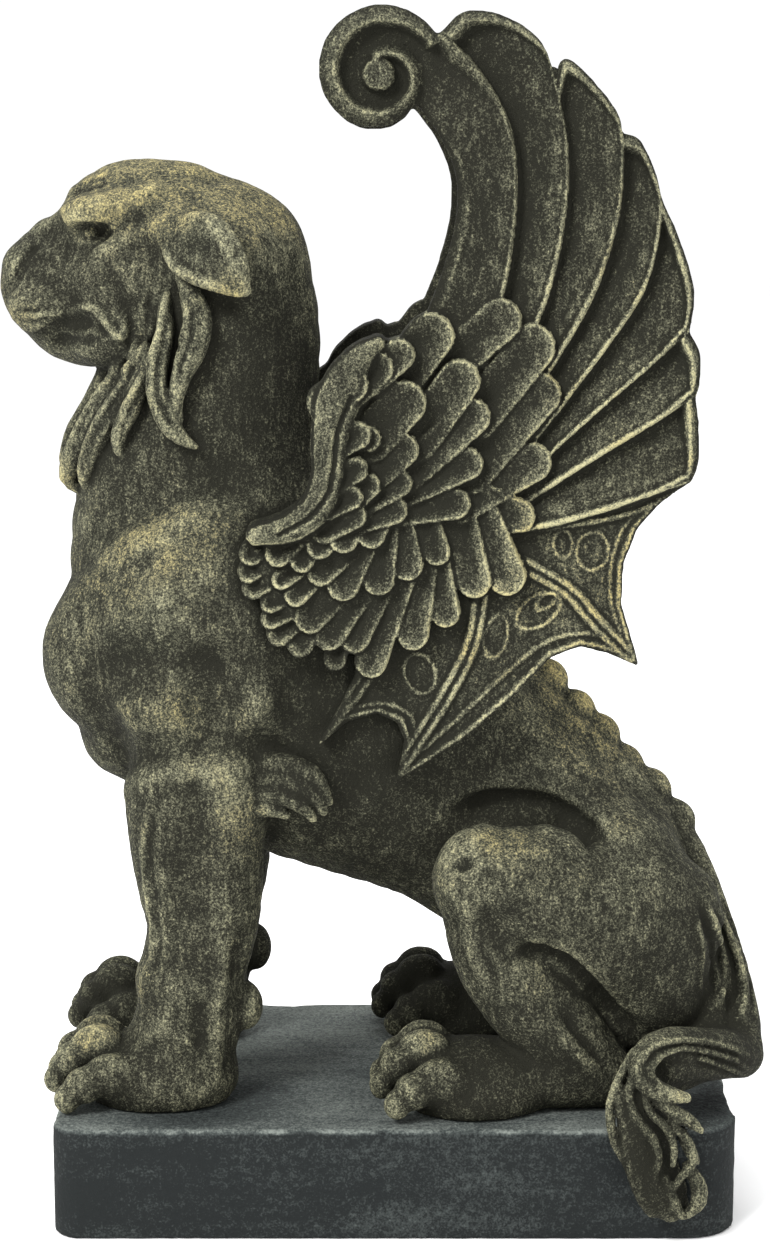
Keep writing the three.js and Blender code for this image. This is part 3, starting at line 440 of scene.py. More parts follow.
class Lattice:
    """Smooth repeatable noise from a seeded lattice, about -1 to 1."""

    def __init__(self, seed, size=32):
        self.size = size
        self.values = np.random.default_rng(seed).uniform(-1, 1, (size, size, size)).astype(np.float32)

    def at(self, x, y, z, cell):
        total = 0
        parts = []
        for axis in (x, y, z):
            scaled = np.asarray(axis, np.float32) / cell + 500.5
            whole = np.floor(scaled).astype(int)
            part = scaled - whole
            parts.append((whole % self.size, part * part * (3 - 2 * part)))
        for corner in range(8):
            weight = 1
            index = []
            for bit, (whole, part) in enumerate(parts):
                up = (corner >> bit) & 1
                index.append((whole + up) % self.size)
                weight = weight * (part if up else 1 - part)
            total = total + weight * self.values[tuple(index)]
        return total


# Distance fields


class Field:
    """Signed distances in mm on a regular grid, x by y by z."""

    def __init__(self, low, high, step):
        self.low = np.array(low, float)
        self.step = step
        size = np.ceil((np.array(high) - self.low) / step).astype(int) + 1
        self.values = np.full(size, FAR, np.float32)

    def axis(self, i):
        return (self.low[i] + self.step * np.arange(self.values.shape[i])).astype(np.float32)

    def window(self, low, high):
        first = np.floor((np.array(low) - self.low) / self.step).astype(int)
        last = np.ceil((np.array(high) - self.low) / self.step).astype(int) + 1
        size = np.array(self.values.shape)
        first, last = np.clip(first, 0, size - 1), np.clip(last, 1, size)
        return tuple(slice(a, b) for a, b in zip(first, last))

    def places(self, window):
        axes = [self.axis(i)[window[i]] for i in range(3)]
        return axes[0][:, None, None], axes[1][None, :, None], axes[2][None, None, :]

    def chain(self, low, high, parts):
        """Window over low to high, and the least of several forms there, each (low, high, distance)."""
        window = self.window(low, high)
        shape = [s.stop - s.start for s in window]
        found = np.full(shape, FAR, np.float32)
        for part_low, part_high, distance in parts:
            inner = self.window(part_low, part_high)
            local = tuple(slice(max(a.start - b.start, 0), a.stop - b.start) for a, b in zip(inner, window))
            if min(s.stop - s.start for s in local) <= 0:
                continue
            found[local] = np.minimum(found[local], distance(*self.places(inner)))
        return window, found

    def unite(self, window, found, blend):
        self.values[window] = smooth_min(self.values[window], found, blend)

    def carve(self, window, found, blend):
        self.values[window] = -smooth_min(-self.values[window], found, blend)


def ellipsoid(at, radii, tilt):
    turn = math.radians(tilt)
    c, s = math.cos(turn), math.sin(turn)
    a, b, d = radii

    def distance(x, y, z):
        dx, dy, dz = x - at[0], y - at[1], z - at[2]
        u, w = dx * c - dz * s, dx * s + dz * c
        k0 = np.sqrt((u / a) ** 2 + (dy / b) ** 2 + (w / d) ** 2)
        k1 = np.sqrt((u / a**2) ** 2 + (dy / b**2) ** 2 + (w / d**2) ** 2)
        return k0 * (k0 - 1) / np.maximum(k1, 1e-4)

    return distance


def segment(start, end, across, size_start, size_end):
    """A piece of limb of elliptical section, (deep, wide) at both ends, with rounded ends."""
    way = end - start
    length = np.linalg.norm(way)
    along = way / length
    across = across - along * across.dot(along)
    across = across / np.linalg.norm(across)
    depth = np.cross(along, across)

    def distance(x, y, z):
        dx, dy, dz = x - start[0], y - start[1], z - start[2]
        s = dx * along[0] + dy * along[1] + dz * along[2]
        share = np.clip(s / length, 0, 1)
        past = s - share * length
        u = dx * depth[0] + dy * depth[1] + dz * depth[2]
        v = dx * across[0] + dy * across[1] + dz * across[2]
        deep = size_start[0] + share * (size_end[0] - size_start[0])
        wide = size_start[1] + share * (size_end[1] - size_start[1])
        thin = np.minimum(deep, wide)
        k0 = np.sqrt((u / deep) ** 2 + (v / wide) ** 2 + (past / thin) ** 2)
        k1 = np.sqrt((u / deep**2) ** 2 + (v / wide**2) ** 2 + (past / thin**2) ** 2)
        return k0 * (k0 - 1) / np.maximum(k1, 1e-4)

    return distance


def limb(field, stations, pad, detail=3, across=(0, 1, 0)):
    """Window and distance of a limb through stations of x, y, z, half depth and, if not round, half width."""
    stations = [tuple(s) + (s[3],) if len(s) == 4 else tuple(s) for s in stations]
    line = curve(stations, detail * (len(stations) - 1) + 1)
    centres, sizes = line[:, :3], np.maximum(line[:, 3:5], 0.15)
    reach = sizes.max(axis=1)[:, None] + pad
    side = np.array(across, float)
    parts = []
    for i in range(len(line) - 1):
        low = np.minimum(centres[i] - reach[i], centres[i + 1] - reach[i + 1])
        high = np.maximum(centres[i] + reach[i], centres[i + 1] + reach[i + 1])
        parts.append((low, high, segment(centres[i], centres[i + 1], side, sizes[i], sizes[i + 1])))
        along = centres[i + 1] - centres[i]
        along = along / np.linalg.norm(along)
        side = side - along * side.dot(along)
        side = side / np.linalg.norm(side)
    return field.chain((centres - reach).min(axis=0), (centres + reach).max(axis=0), parts)


def add_limb(field, stations, blend, **options):
    field.unite(*limb(field, stations, blend + 2, **options), blend)


def add_mass(field, mass):
    at, radii, tilt, blend = mass
    reach = np.array([max(radii[0], radii[2]), radii[1], max(radii[0], radii[2])]) + blend + 2
    window, found = field.chain(at - reach, at + reach, [(at - reach, at + reach, ellipsoid(at, radii, tilt))])
    field.unite(window, found, blend)


def add_lumps(field, lumps, melt, blend):
    """Rounded masses, each a centre and radii, melted into one another before they join the rest."""
    centres = np.array([at for at, _ in lumps], float)
    reach = max(max(radii) for _, radii in lumps) + melt + blend + 1
    window = field.window(centres.min(axis=0) - reach, centres.max(axis=0) + reach)
    found = FAR
    for at, radii in lumps:
        found = smooth_min(found, ellipsoid(at, radii, 0)(*field.places(window)), melt)
    field.unite(window, found, blend)


class Skin:
    """The near flank's outer surface: y over x and z, and the way it faces there."""

    def __init__(self, field):
        self.field = field
        inside = field.values < 0
        first = np.argmax(inside, axis=1)
        self.y = np.where(inside.any(axis=1), field.low[1] + field.step * (first - 0.5), np.nan)

    def at(self, x, z):
        """The nearest point of the surface and its outward way, or nothing where the figure isn't."""
        i = int(round((x - self.field.low[0]) / self.field.step))
        k = int(round((z - self.field.low[2]) / self.field.step))
        y = self.y[i, k]
        if np.isnan(y):
            return None
        spot = np.array((x, y, z))
        reach = 1.5 * self.field.step
        around = [spot + reach * sign * way for way in np.eye(3) for sign in (1, -1)]
        values = read(self.field.values, self.field.low, self.field.step, np.array(around))
        way = values[0::2] - values[1::2]
        way = way / max(np.linalg.norm(way), 1e-6)
        here = read(self.field.values, self.field.low, self.field.step, spot[None])[0]
        return spot - way * here, way


def ball(centre, radius):
    def distance(x, y, z):
        return np.sqrt((x - centre[0]) ** 2 + (y - centre[1]) ** 2 + (z - centre[2]) ** 2) - radius

    return distance


def stroke(field, skin, radius, depth, path):
    """Window and distance of a round tool drawn along the skin, sunk by depth and lifted at both ends."""
    line = curve(path, 3 + int(sum(math.dist(a, b) for a, b in zip(path, path[1:])) / (0.35 * radius + 0.35)))
    parts = []
    for i, (x, z) in enumerate(line):
        found = skin.at(x, z)
        if found is None:
            continue
        spot, way = found
        share = i / (len(line) - 1)
        fade = min(1, 5 * share + 0.1, 5 * (1 - share) + 0.1)
        centre = spot + way * (radius - abs(depth) * fade) * (1 if depth > 0 else -1)
        reach = radius + 2
        parts.append((centre - reach, centre + reach, ball(centre, radius)))
    low = np.min([p[0] for p in parts], axis=0)
    high = np.max([p[1] for p in parts], axis=0)
    return field.chain(low, high, parts)


def grooves(field, strokes):
    skin = Skin(field)
    for radius, depth, path in strokes:
        field.carve(*stroke(field, skin, radius, depth, path), min(4, 0.5 * radius))


def ridges(field, strokes):
    skin = Skin(field)
    for radius, height, path in strokes:
        field.unite(*stroke(field, skin, radius, -height, path), min(4, 0.6 * radius))


def dent(field, spot, radii, depth):
    """Sinks a rounded hollow into the skin at x, z."""
    place, way = Skin(field).at(*spot)
    centre = place + way * (radii[1] - depth)
    reach = max(radii) + 3
    field.carve(*field.chain(centre - reach, centre + reach, [(centre - reach, centre + reach, ellipsoid(centre, radii, 0))]), 1)


# Body


def head(field):
    for mass in MASSES_OF_HEAD:
        add_mass(field, mass)
    field.carve(*limb(field, BRIDGE_CUT, 4), 2)
    ridges(field, HEAD_RIDGES[:1])
    ball_spot, _ = Skin(field).at(*EYE["ball"][0])
    dent(field, *EYE["socket"])
    radii, sunk = EYE["ball"][1:]
    add_mass(field, ((ball_spot[0], ball_spot[1] + radii[1] + sunk, ball_spot[2]), radii, 0, 0.4))
    grooves(field, HEAD_GROOVES)
    field.carve(*limb(field, MOUTH, 2), 0.7)
    ridges(field, HEAD_RIDGES[1:])
    add_mass(field, EAR_ROOT)
    add_limb(field, EAR, 1)
    grooves(field, EAR_HOLLOW)
    ridges(field, EAR_RIDGES)
    add_limb(field, EAR_RIM, 0.8)
    for lock in LOCKS:
        add_limb(field, lock, 0.7)
    grooves(field, LOCK_GROOVES)
    ridges(field, HAIR)


def paw(field, sole, radii, toe):
    add_mass(field, (sole, radii, 0, 3))
    for i in range(TOES["count"]):
        step = i - (TOES["count"] - 1) / 2
        outer = abs(step) > 1
        x = toe[0] + (TOES["outer_setback"] if outer else 0)
        y = toe[1] + step * TOES["pitch"]
        lumps = []
        for s, up, size, inner_rise in TOE_LUMPS:
            rise = 0 if outer else inner_rise
            lumps.append(((x + s, y - TOES["fan"] * step * min(0, s), toe[2] + up + rise), size))
        add_lumps(field, lumps, TOES["melt"], TOES["outer_crease"] if outer else TOES["crease"])


def near_half(field):
    """The whole figure but its tail, on the near side of the middle plane."""
    add_limb(field, TRUNK, 0)
    add_limb(field, HEAD, 5)
    for mass in sorted(MASSES, key=lambda m: -m[3]):
        add_mass(field, mass)
    add_limb(field, FORELEG, 3.5)
    add_limb(field, THIGH, 3)
    add_mass(field, KNEE)
    add_limb(field, SHANK, 1.5)
    add_limb(field, FOOT, 2.5)
    paw(field, **FORE_PAW)
    paw(field, **HIND_PAW)
    add_mass(field, DEWCLAW)
    for x, z in BACK_KNOBS:
        add_mass(field, ((x, 0, z), KNOB_RADII, 50, 2))
    grooves(field, NECK_GROOVES + CHEST_GROOVES + HAUNCH_GROOVES)
    ridges(field, CHEST_RIDGES + HAUNCH_RIDGES)
    grooves(field, FORELEG_GROOVES)
    ridges(field, FORELEG_RIDGES)
    for tuft in ELBOW_TUFTS:
        add_limb(field, tuft, 0.6)
    dent(field, *KNEE_PIT)
    head(field)


# Wings, each a relief in the plane of x and z: how far its face stands out from the wing's own plane
WING = {"face_top": 34, "flare_down": 6, "flare_z": (145, 215), "flare_forward": 4, "flare_x": (-40, 10), "back": -8}
WING_LOW = (-58.0, 116.0)
WING_HIGH = (90.0, 338.0)
RELIEF_STEP = 0.3
EDGE_BLUR = 5  # cells over which an outline is read, an odd number
# The long feathers' edges, from the leading edge on: the light ridge that ends each feather, coverts outwards
FEATHER_EDGES = [
    [(4, 240), (12, 260), (16, 275), (16, 287), (12, 297), (7, 304)],
    [(24, 236), (30, 262), (32, 283), (30, 300), (22, 314), (12, 324)],
    [(31, 230), (41, 257), (45, 278), (45, 296), (42, 309)],
    [(33, 222), (51, 252), (58, 272), (60, 288), (59, 298)],
    [(34, 212), (55, 240), (66, 257), (70, 273), (70, 281)],
    [(32, 204), (50, 221), (67, 236), (78, 246)],
    [(32, 198), (52, 211), (70, 222), (80, 229)],
    [(30, 192), (46, 195), (62, 200), (79, 206)],
]
# The outer end of each feather, from the edge before it to its own ridge
CROWNS = [
    [(7, 304), (0, 314), (12, 324)],
    [(12, 324), (18, 329), (28, 328), (38, 321), (42, 309)],
    [(42, 309), (44, 317), (51, 312), (58, 303), (59, 298)],
    [(59, 298), (64, 296), (68, 288), (70, 281)],
    [(70, 281), (75, 270), (79, 257), (78, 246)],
    [(78, 246), (81, 240), (81, 233), (80, 229)],
    [(80, 229), (81, 220), (81, 211), (79, 206)],
]
# Across a feather, from just behind the ridge before it to its own ridge: share of the way, and height
FEATHER_SECTION = [(0, -3.6), (0.12, -3.4), (0.4, -2.3), (0.75, -1.2), (1, -0.4)]
SCROLL = {
    "centre": (-4, 313),
    "outer": 18,
    "inner": 5,
    "start_turn": 36,
    "end_turn": 480,
    "tightening": 1.3,
    "floor": -3.6,
    "floor_end": 345,
    "join": [(8, 306), (12, 304), (20, 312), (14, 325)],
    "knob": (-4.5, 313, 4.4),
}
# How far the scroll's light line lies inside its outline: turn, distance
SCROLL_INSET = [(36, 2.8), (80, 4.2), (200, 4.2), (270, 3.3), (345, 1.8), (480, 1.2)]
# Coverts by row, outermost first. Each leaf runs from its root to its tip, x and z, and has a half width
LEAF_ROWS = [
    {
        "height": 1.8,
        "leaves": [
            (17, 240, 32, 253, 4.8),
            (25, 228, 40, 247, 5.2),
            (24, 213, 42, 234, 4.8),
            (22, 203, 41, 214, 4.4),
            (26, 200, 37, 195, 3.9),
            (23, 196, 32, 176, 4.4),
            (18, 192, 22, 175, 3.9),
            (11, 182, 14, 167, 3.5),
            (6, 177, 4, 161, 3.7),
            (-1, 175, -8, 154, 3.7),
            (-7, 173, -13, 161, 3.5),
            (-13, 172, -20, 162, 3.3),
            (-20, 173, -26, 167, 3.5),
            (-16, 160, -17, 156, 2.6),
            (-25, 165, -27, 160, 3.1),
            (-30, 167, -34, 164, 2.8),
            (-31, 171, -36, 169, 2.4),
            (-32, 175, -36, 173, 2.4),
            (-35, 180, -41, 177, 2.6),
            (-37, 184, -42, 181, 2.6),
            (-37, 189, -41, 185, 2.8),
        ],
    },
    {
        "height": 3.2,
        "leaves": [
            (4, 238, 13, 250, 5.2),
            (9, 222, 20, 238, 4.8),
            (7, 212, 24, 227, 4.2),
            (5, 205, 23, 213, 3.7),
            (4, 199, 20, 201, 3.5),
            (9, 193, 12, 184, 3.1),
            (1, 192, 4, 180, 3.7),
            (-4, 189, -5, 176, 3.7),
            (-11, 186, -16, 175, 3.7),
            (-17, 185, -23, 180, 3.1),
            (-25, 178, -29, 174, 2.6),
            (-28, 182, -33, 179, 2.2),
        ],
    },
    {
        "height": 4.6,
        "leaves": [
            (-3, 222, 6, 232, 5.2),
            (-3, 211, 5, 218, 3.9),
            (-5, 203, 4, 208, 3.1),
            (-7, 197, 3, 200, 3.1),
            (-6, 194, -8, 189, 3.3),
            (-13, 193, -16, 188, 3.3),
            (-20, 190, -23, 187, 3.1),
            (-25, 186, -27, 183, 2.8),
            (-31, 188, -34, 185, 3.1),
        ],
    },
    {
        "height": 5.8,
        "leaves": [(-3, 237, 4, 243, 3.7), (-8, 234, -2, 240, 3.9), (-8, 218, -4, 217, 3.1), (-9, 204, -5, 208, 2.8), (-14, 196, -8, 199, 2.8)],
    },
    {
        "height": 6.6,
        "leaves": [(-14, 231, -8, 235, 3.9), (-12, 218, -7, 221, 3.1), (-12, 209, -8, 212, 2.8), (-13, 202, -9, 204, 2.6)],
    },
]
LEAF = {"broader": 1.22, "root_drop": 1.6, "under": 6, "cup": 1.2, "edge": 0.6, "edge_drop": 0.6, "lean": 0.9}
COVERT_BODY = [
    (-4, 244), (8, 244), (20, 240), (30, 240), (35, 228), (35, 210), (33, 196), (26, 184), (14, 175),
    (2, 168), (-10, 163), (-22, 166), (-30, 170), (-36, 178), (-38, 188), (-24, 192), (-18, 202), (-14, 226),
]
# The rolled edge in front of the coverts: x, z and half width
SHOULDER_RIM = [
    (-5, 243, 2.4), (-9, 240, 3.6), (-13, 234, 5.4), (-15.5, 227, 6), (-17.5, 218, 5.2), (-18, 209, 4.6),
    (-21, 200, 4.5), (-28, 194.5, 4), (-37, 192.5, 3),
]
RIM_GROOVE = [(-12, 229), (-15.5, 220), (-16.5, 211), (-18, 204), (-23, 197.5), (-31, 193)]
RIM = {"foot": 2.8, "rise": 4.4, "groove": 1.5, "lumps": 1.2}
SKIN_OUTLINE = [
    (20, 200), (79, 206), (71, 200), (65, 193), (61.5, 184), (61, 173), (66, 156), (58, 159.5), (50, 161.5),
    (42, 158.5), (32, 148), (19, 136.5), (9, 129.5), (0, 124), (1.5, 130), (2.5, 136), (0.5, 141), (-5, 143.5),
    (-13, 141.5), (-22, 134), (-14, 147), (-4, 172),
]
SKIN = {"face": -3.6, "rim": 1.5, "rim_in": 1.1, "rib": 1.7, "rib_half": 1.2, "line": 1.0, "oval": 0.8}
# Bones of the skin, drawn with two ridges, and single lines that follow its edges
RIBS = [
    [(30, 194), (42, 195), (56, 197), (67, 200), (78, 206.5)],
    [(30, 186), (38, 181.5), (47, 176), (54, 168), (63, 159)],
    [(23, 176), (20.5, 162), (13.5, 148), (1, 128)],
    [(-4, 160), (-9, 152), (-15, 144), (-20, 137)],
]
SKIN_LINES = [
    [(75, 202.5), (63, 195.5), (58.5, 186), (58, 174), (61.5, 163)],
    [(61, 163), (50, 165), (39.5, 162), (28, 152.5), (17, 142), (6, 132)],
    [(5.5, 136), (4, 142.5), (-3, 146), (-12.5, 144.5), (-18, 141)],
]
# Shallow oval rings: x, z, half sizes, and tilt in degrees
SKIN_OVALS = [
    (27, 164, 3, 5.6, -12), (38.5, 171, 6.6, 3.8, 35), (40.5, 173.5, 2.8, 1.6, 35), (6.5, 154, 4, 5.4, 20),
    (45, 189, 2.4, 3.6, 0), (53, 187, 4.2, 5, -8),
]
BARBS = {"pitch": 1.5, "run": 16, "height": 0.3}


class Relief:
    """Heights over the wing's plane on a fine grid of x by z, painted from the back forwards."""

    def __init__(self):
        self.x = np.arange(WING_LOW[0], WING_HIGH[0], RELIEF_STEP)
        self.z = np.arange(WING_LOW[1], WING_HIGH[1], RELIEF_STEP)
        self.top = np.full((len(self.x), len(self.z)), -FAR)
        self.noise = Lattice(7)

    def window(self, low, high):
        first = np.searchsorted(self.x, low[0]), np.searchsorted(self.z, low[1])
        last = np.searchsorted(self.x, high[0]), np.searchsorted(self.z, high[1])
        part = slice(first[0], last[0]), slice(first[1], last[1])
        return part, self.x[part[0]][:, None], self.z[part[1]][None, :]

    def scatter(self, x, z, height):
        """Raises the cells under scattered places, which lie closer together than the cells."""
        i = np.round((x - self.x[0]) / RELIEF_STEP).astype(int).ravel()
        j = np.round((z - self.z[0]) / RELIEF_STEP).astype(int).ravel()
        np.maximum.at(self.top, (i, j), height.ravel())

    def raise_to(self, part, height):
        self.top[part] = np.maximum(self.top[part], height)


def inside_outline(points, x, z):
    """Which places lie inside a closed outline."""
    inside = np.zeros(np.broadcast(x, z).shape, bool)
    for (x0, z0), (x1, z1) in zip(points, points[1:] + points[:1]):
        if z0 == z1:
            continue
        spans = (z0 > z) != (z1 > z)
        inside ^= spans & (x < x0 + (z - z0) * (x1 - x0) / (z1 - z0))
    return inside


def line_distance(points, x, z):
    """Distance of places from a line through points, and how far along it they lie, from 0 to 1."""
    nearest = np.full(np.broadcast(x, z).shape, FAR)
    along = np.zeros(nearest.shape)
    for i in range(len(points) - 1):
        ax, az = points[i][0], points[i][1]
        bx, bz = points[i + 1][0] - ax, points[i + 1][1] - az
        share = np.clip(((x - ax) * bx + (z - az) * bz) / (bx * bx + bz * bz), 0, 1)
        distance = np.hypot(x - ax - share * bx, z - az - share * bz)
        closer = distance < nearest
        nearest = np.where(closer, distance, nearest)
        along = np.where(closer, (i + share) / (len(points) - 1), along)
    return nearest, along


def paint_feather(relief, number):
    across = np.linspace(0, 1, 150)[:, None]
    stations = 700
    along = np.linspace(0, 1, stations)
    first = curve(FEATHER_EDGES[number], stations)
    second = curve(FEATHER_EDGES[number + 1], stations)
    crown = curve(CROWNS[number], len(across))
    drawn = smooth_step(along, 0.55, 1) * along
    places = []
    for i in (0, 1):
        straight = first[:, i] * (1 - across) + second[:, i] * across
        straight_end = first[-1, i] * (1 - across) + second[-1, i] * across
        places.append(straight + (crown[:, i][:, None] - straight_end) * drawn)
    x, z = places
    width = np.hypot(*(second - first).T)
    length = np.concatenate([[0], np.cumsum(np.hypot(np.diff(x[75]), np.diff(z[75])))])
    out = (1 - across) * width
    tip = length[-1] - length[None, :]
    shares, heights = zip(*FEATHER_SECTION)
    face = np.interp(across, shares, heights) * np.ones_like(x)
    if number == 0:
        face = np.interp(across, (0, 0.16, 0.24, 1), (-2.6, -0.5, -1.1, -0.4)) * np.ones_like(x)
        face -= (face - SCROLL["floor"]) * smooth_step(along, 0.72, 0.97)[None, :]
    bevel = 1.0 + 1.8 * smooth_step(along, 0.75, 1)[None, :] * (number > 0)
    edge = np.minimum(out, tip) if number > 0 else out
    ridge = 0.7 - np.where(edge < bevel, (bevel - edge) * 0.9, (edge - bevel) * 1.5)
    ridge -= 2.5 * (1 - smooth_step(along, 0.04, 0.22))[None, :]
    if number == 0:
        ridge -= 1.5 * smooth_step(along, 0.92, 1)[None, :]
    combed = relief.noise.at(out / BARBS["pitch"], tip / BARBS["run"], 10 * number, 1) * BARBS["height"]
    relief.scatter(x, z, np.maximum(face + combed * smooth_step(out, 0.5, 2.5), ridge))


def scroll_radius(turn):
    wound = np.maximum(0, turn - 90) / (SCROLL["end_turn"] - 90)
    return SCROLL["outer"] - (SCROLL["outer"] - SCROLL["inner"]) * wound ** SCROLL["tightening"]


def paint_scroll(relief):
    cx, cz = SCROLL["centre"]
    reach = SCROLL["outer"] + 8
    part, x, z = relief.window((cx - reach, cz - reach), (cx + reach, cz + reach))
    outline = [p for p in SCROLL["join"]]
    for turn in range(SCROLL["start_turn"], SCROLL["floor_end"] + 1, 8):
        radius = scroll_radius(turn)
        outline.append((cx + radius * math.cos(math.radians(turn)), cz + radius * math.sin(math.radians(turn))))
    height = np.where(inside_outline(outline, x, z), SCROLL["floor"], -FAR)
    relief.raise_to(part, height)
    r = np.hypot(x - cx, z - cz)
    angle = np.degrees(np.arctan2(z - cz, x - cx)) % 360
    turns, insets = zip(*SCROLL_INSET)
    for lap in (0, 1):
        turn = angle + 360 * lap
        outer = scroll_radius(turn)
        line = outer - np.interp(turn, turns, insets)
        past = r - line
        side = np.where(turn > SCROLL["floor_end"], 1.3, 2.8 / np.maximum(outer - line, 0.5))
        crest = 0.7 - 0.5 * smooth_step(turn, 300, 480)
        height = crest - np.where(past > 0, past * side, -past * 2.2)
        runs = (turn > SCROLL["start_turn"] - 8) & (turn < SCROLL["end_turn"])
        runs &= (r < outer) | (turn > SCROLL["floor_end"])
        relief.raise_to(part, np.where(runs & (height > SCROLL["floor"]), height, -FAR))
    kx, kz, size = SCROLL["knob"]
    off = np.hypot(x - kx, z - kz) / size
    relief.raise_to(part, np.where(off < 1, -2.2 + 2.2 * np.sqrt(np.maximum(0, 1 - off**4)), -FAR))


def paint_leaf(relief, leaf, height):
    """A covert like a shingle: it rises to its tip, with a hollow middle and a rounded edge."""
    x0, z0, x1, z1, half = leaf
    half = half * LEAF["broader"]
    length = math.hypot(x1 - x0, z1 - z0)
    ux, uz = (x1 - x0) / length, (z1 - z0) / length
    reach = half + LEAF["under"]
    low = min(x0, x1) - reach, min(z0, z1) - reach
    high = max(x0, x1) + reach, max(z0, z1) + reach
    part, x, z = relief.window(low, high)
    along = (x - x0) * ux + (z - z0) * uz
    aside = (x - x0) * uz - (z - z0) * ux
    lean = 1 if uz > 0 else -1
    past = np.maximum(np.maximum(along - (length - half), -along - LEAF["under"]), 0)
    inset = half - np.hypot(aside, past)
    edge = np.clip(1 - inset / LEAF["edge"], 0, 1)
    top = height - LEAF["root_drop"] * np.minimum(1 - along / length, 1.6)
    top = top - LEAF["cup"] * smooth_step(inset, LEAF["edge"], half) - LEAF["edge_drop"] * edge**2
    top = top + LEAF["lean"] * lean * aside / half
    relief.raise_to(part, np.where(inset > 0, top, -FAR))


def paint_coverts(relief):
    part, x, z = relief.window(WING_LOW, WING_HIGH)
    out = np.hypot(x + 18, z - 205)
    relief.raise_to(part, np.where(inside_outline(COVERT_BODY, x, z), 3.2 - 0.1 * out, -FAR))
    for row in LEAF_ROWS:
        for leaf in row["leaves"]:
            paint_leaf(relief, leaf, row["height"])


def paint_shoulder_rim(relief):
    """The thick rolled edge in front of the coverts, with a groove along it."""
    part, x, z = relief.window(WING_LOW, WING_HIGH)
    line = curve(SHOULDER_RIM, 50)
    off, along = line_distance(line[:, :2].tolist(), x, z)
    radius = np.interp(along, np.linspace(0, 1, len(line)), line[:, 2])
    share = np.clip(off / radius, 0, 1)
    groove, _ = line_distance(curve(RIM_GROOVE, 20).tolist(), x, z)
    height = RIM["foot"] + RIM["rise"] * np.sqrt(1 - share**2) - RIM["groove"] * np.exp(-((groove / 0.7) ** 2))
    lumps = relief.noise.at(x, z, 0, 5) * RIM["lumps"] * smooth_step(z, 222, 232)
    relief.raise_to(part, np.where(off < radius, height + lumps, -FAR))


def paint_skin(relief):
    part, x, z = relief.window(WING_LOW, WING_HIGH)
    inside = inside_outline(SKIN_OUTLINE, x, z)
    off, _ = line_distance(SKIN_OUTLINE[1:], x, z)
    height = SKIN["face"] + SKIN["rim"] * np.exp(-(((off - SKIN["rim_in"]) / 0.9) ** 2))
    for cx, cz, a, b, tilt in SKIN_OVALS:
        c, s = math.cos(math.radians(tilt)), math.sin(math.radians(tilt))
        u, v = (x - cx) * c + (z - cz) * s, (z - cz) * c - (x - cx) * s
        ring = (np.hypot(u / a, v / b) - 1) * min(a, b)
        height += SKIN["oval"] * np.exp(-((ring / 0.5) ** 2)) - 0.3 * (ring < 0)
    for line in SKIN_LINES:
        off, _ = line_distance(curve(line, 15).tolist(), x, z)
        height = np.maximum(height, SKIN["face"] + SKIN["line"] - 0.9 * off)
    for rib in RIBS:
        off, _ = line_distance(curve(rib, 15).tolist(), x, z)
        bone = SKIN["rib"] - 0.9 * (off - SKIN["rib_half"]) ** 2
        height = np.maximum(height, SKIN["face"] + bone)
    relief.raise_to(part, np.where(inside, height, -FAR))


def box_blur(values, cells):
    for axis in (0, 1):
        half = cells // 2
        pad = [(half + 1, half) if i == axis else (0, 0) for i in range(2)]
        run = np.cumsum(np.pad(values, pad, mode="edge"), axis=axis)
        size = values.shape[axis]
        values = (np.take(run, range(cells, cells + size), axis=axis) - np.take(run, range(size), axis=axis)) / cells
    return values


def wing_plane(x, z):
    down = 1 - np.clip((z - WING["flare_z"][0]) / (WING["flare_z"][1] - WING["flare_z"][0]), 0, 1)
    forward = 1 - np.clip((x - WING["flare_x"][0]) / (WING["flare_x"][1] - WING["flare_x"][0]), 0, 1)
    return WING["face_top"] + WING["flare_down"] * down + WING["flare_forward"] * forward * down


def read_relief(values, x, z):
    """Reads a relief's values at the grid lines x by z."""
    i = np.clip((x - WING_LOW[0]) / RELIEF_STEP, 0, values.shape[0] - 1.001)
    j = np.clip((z - WING_LOW[1]) / RELIEF_STEP, 0, values.shape[1] - 1.001)
    i0, j0 = i.astype(int), j.astype(int)
    fi, fj = (i - i0)[:, None], (j - j0)[None, :]
    rows = values[i0] * (1 - fi) + values[i0 + 1] * fi
    return rows[:, j0] * (1 - fj) + rows[:, j0 + 1] * fj


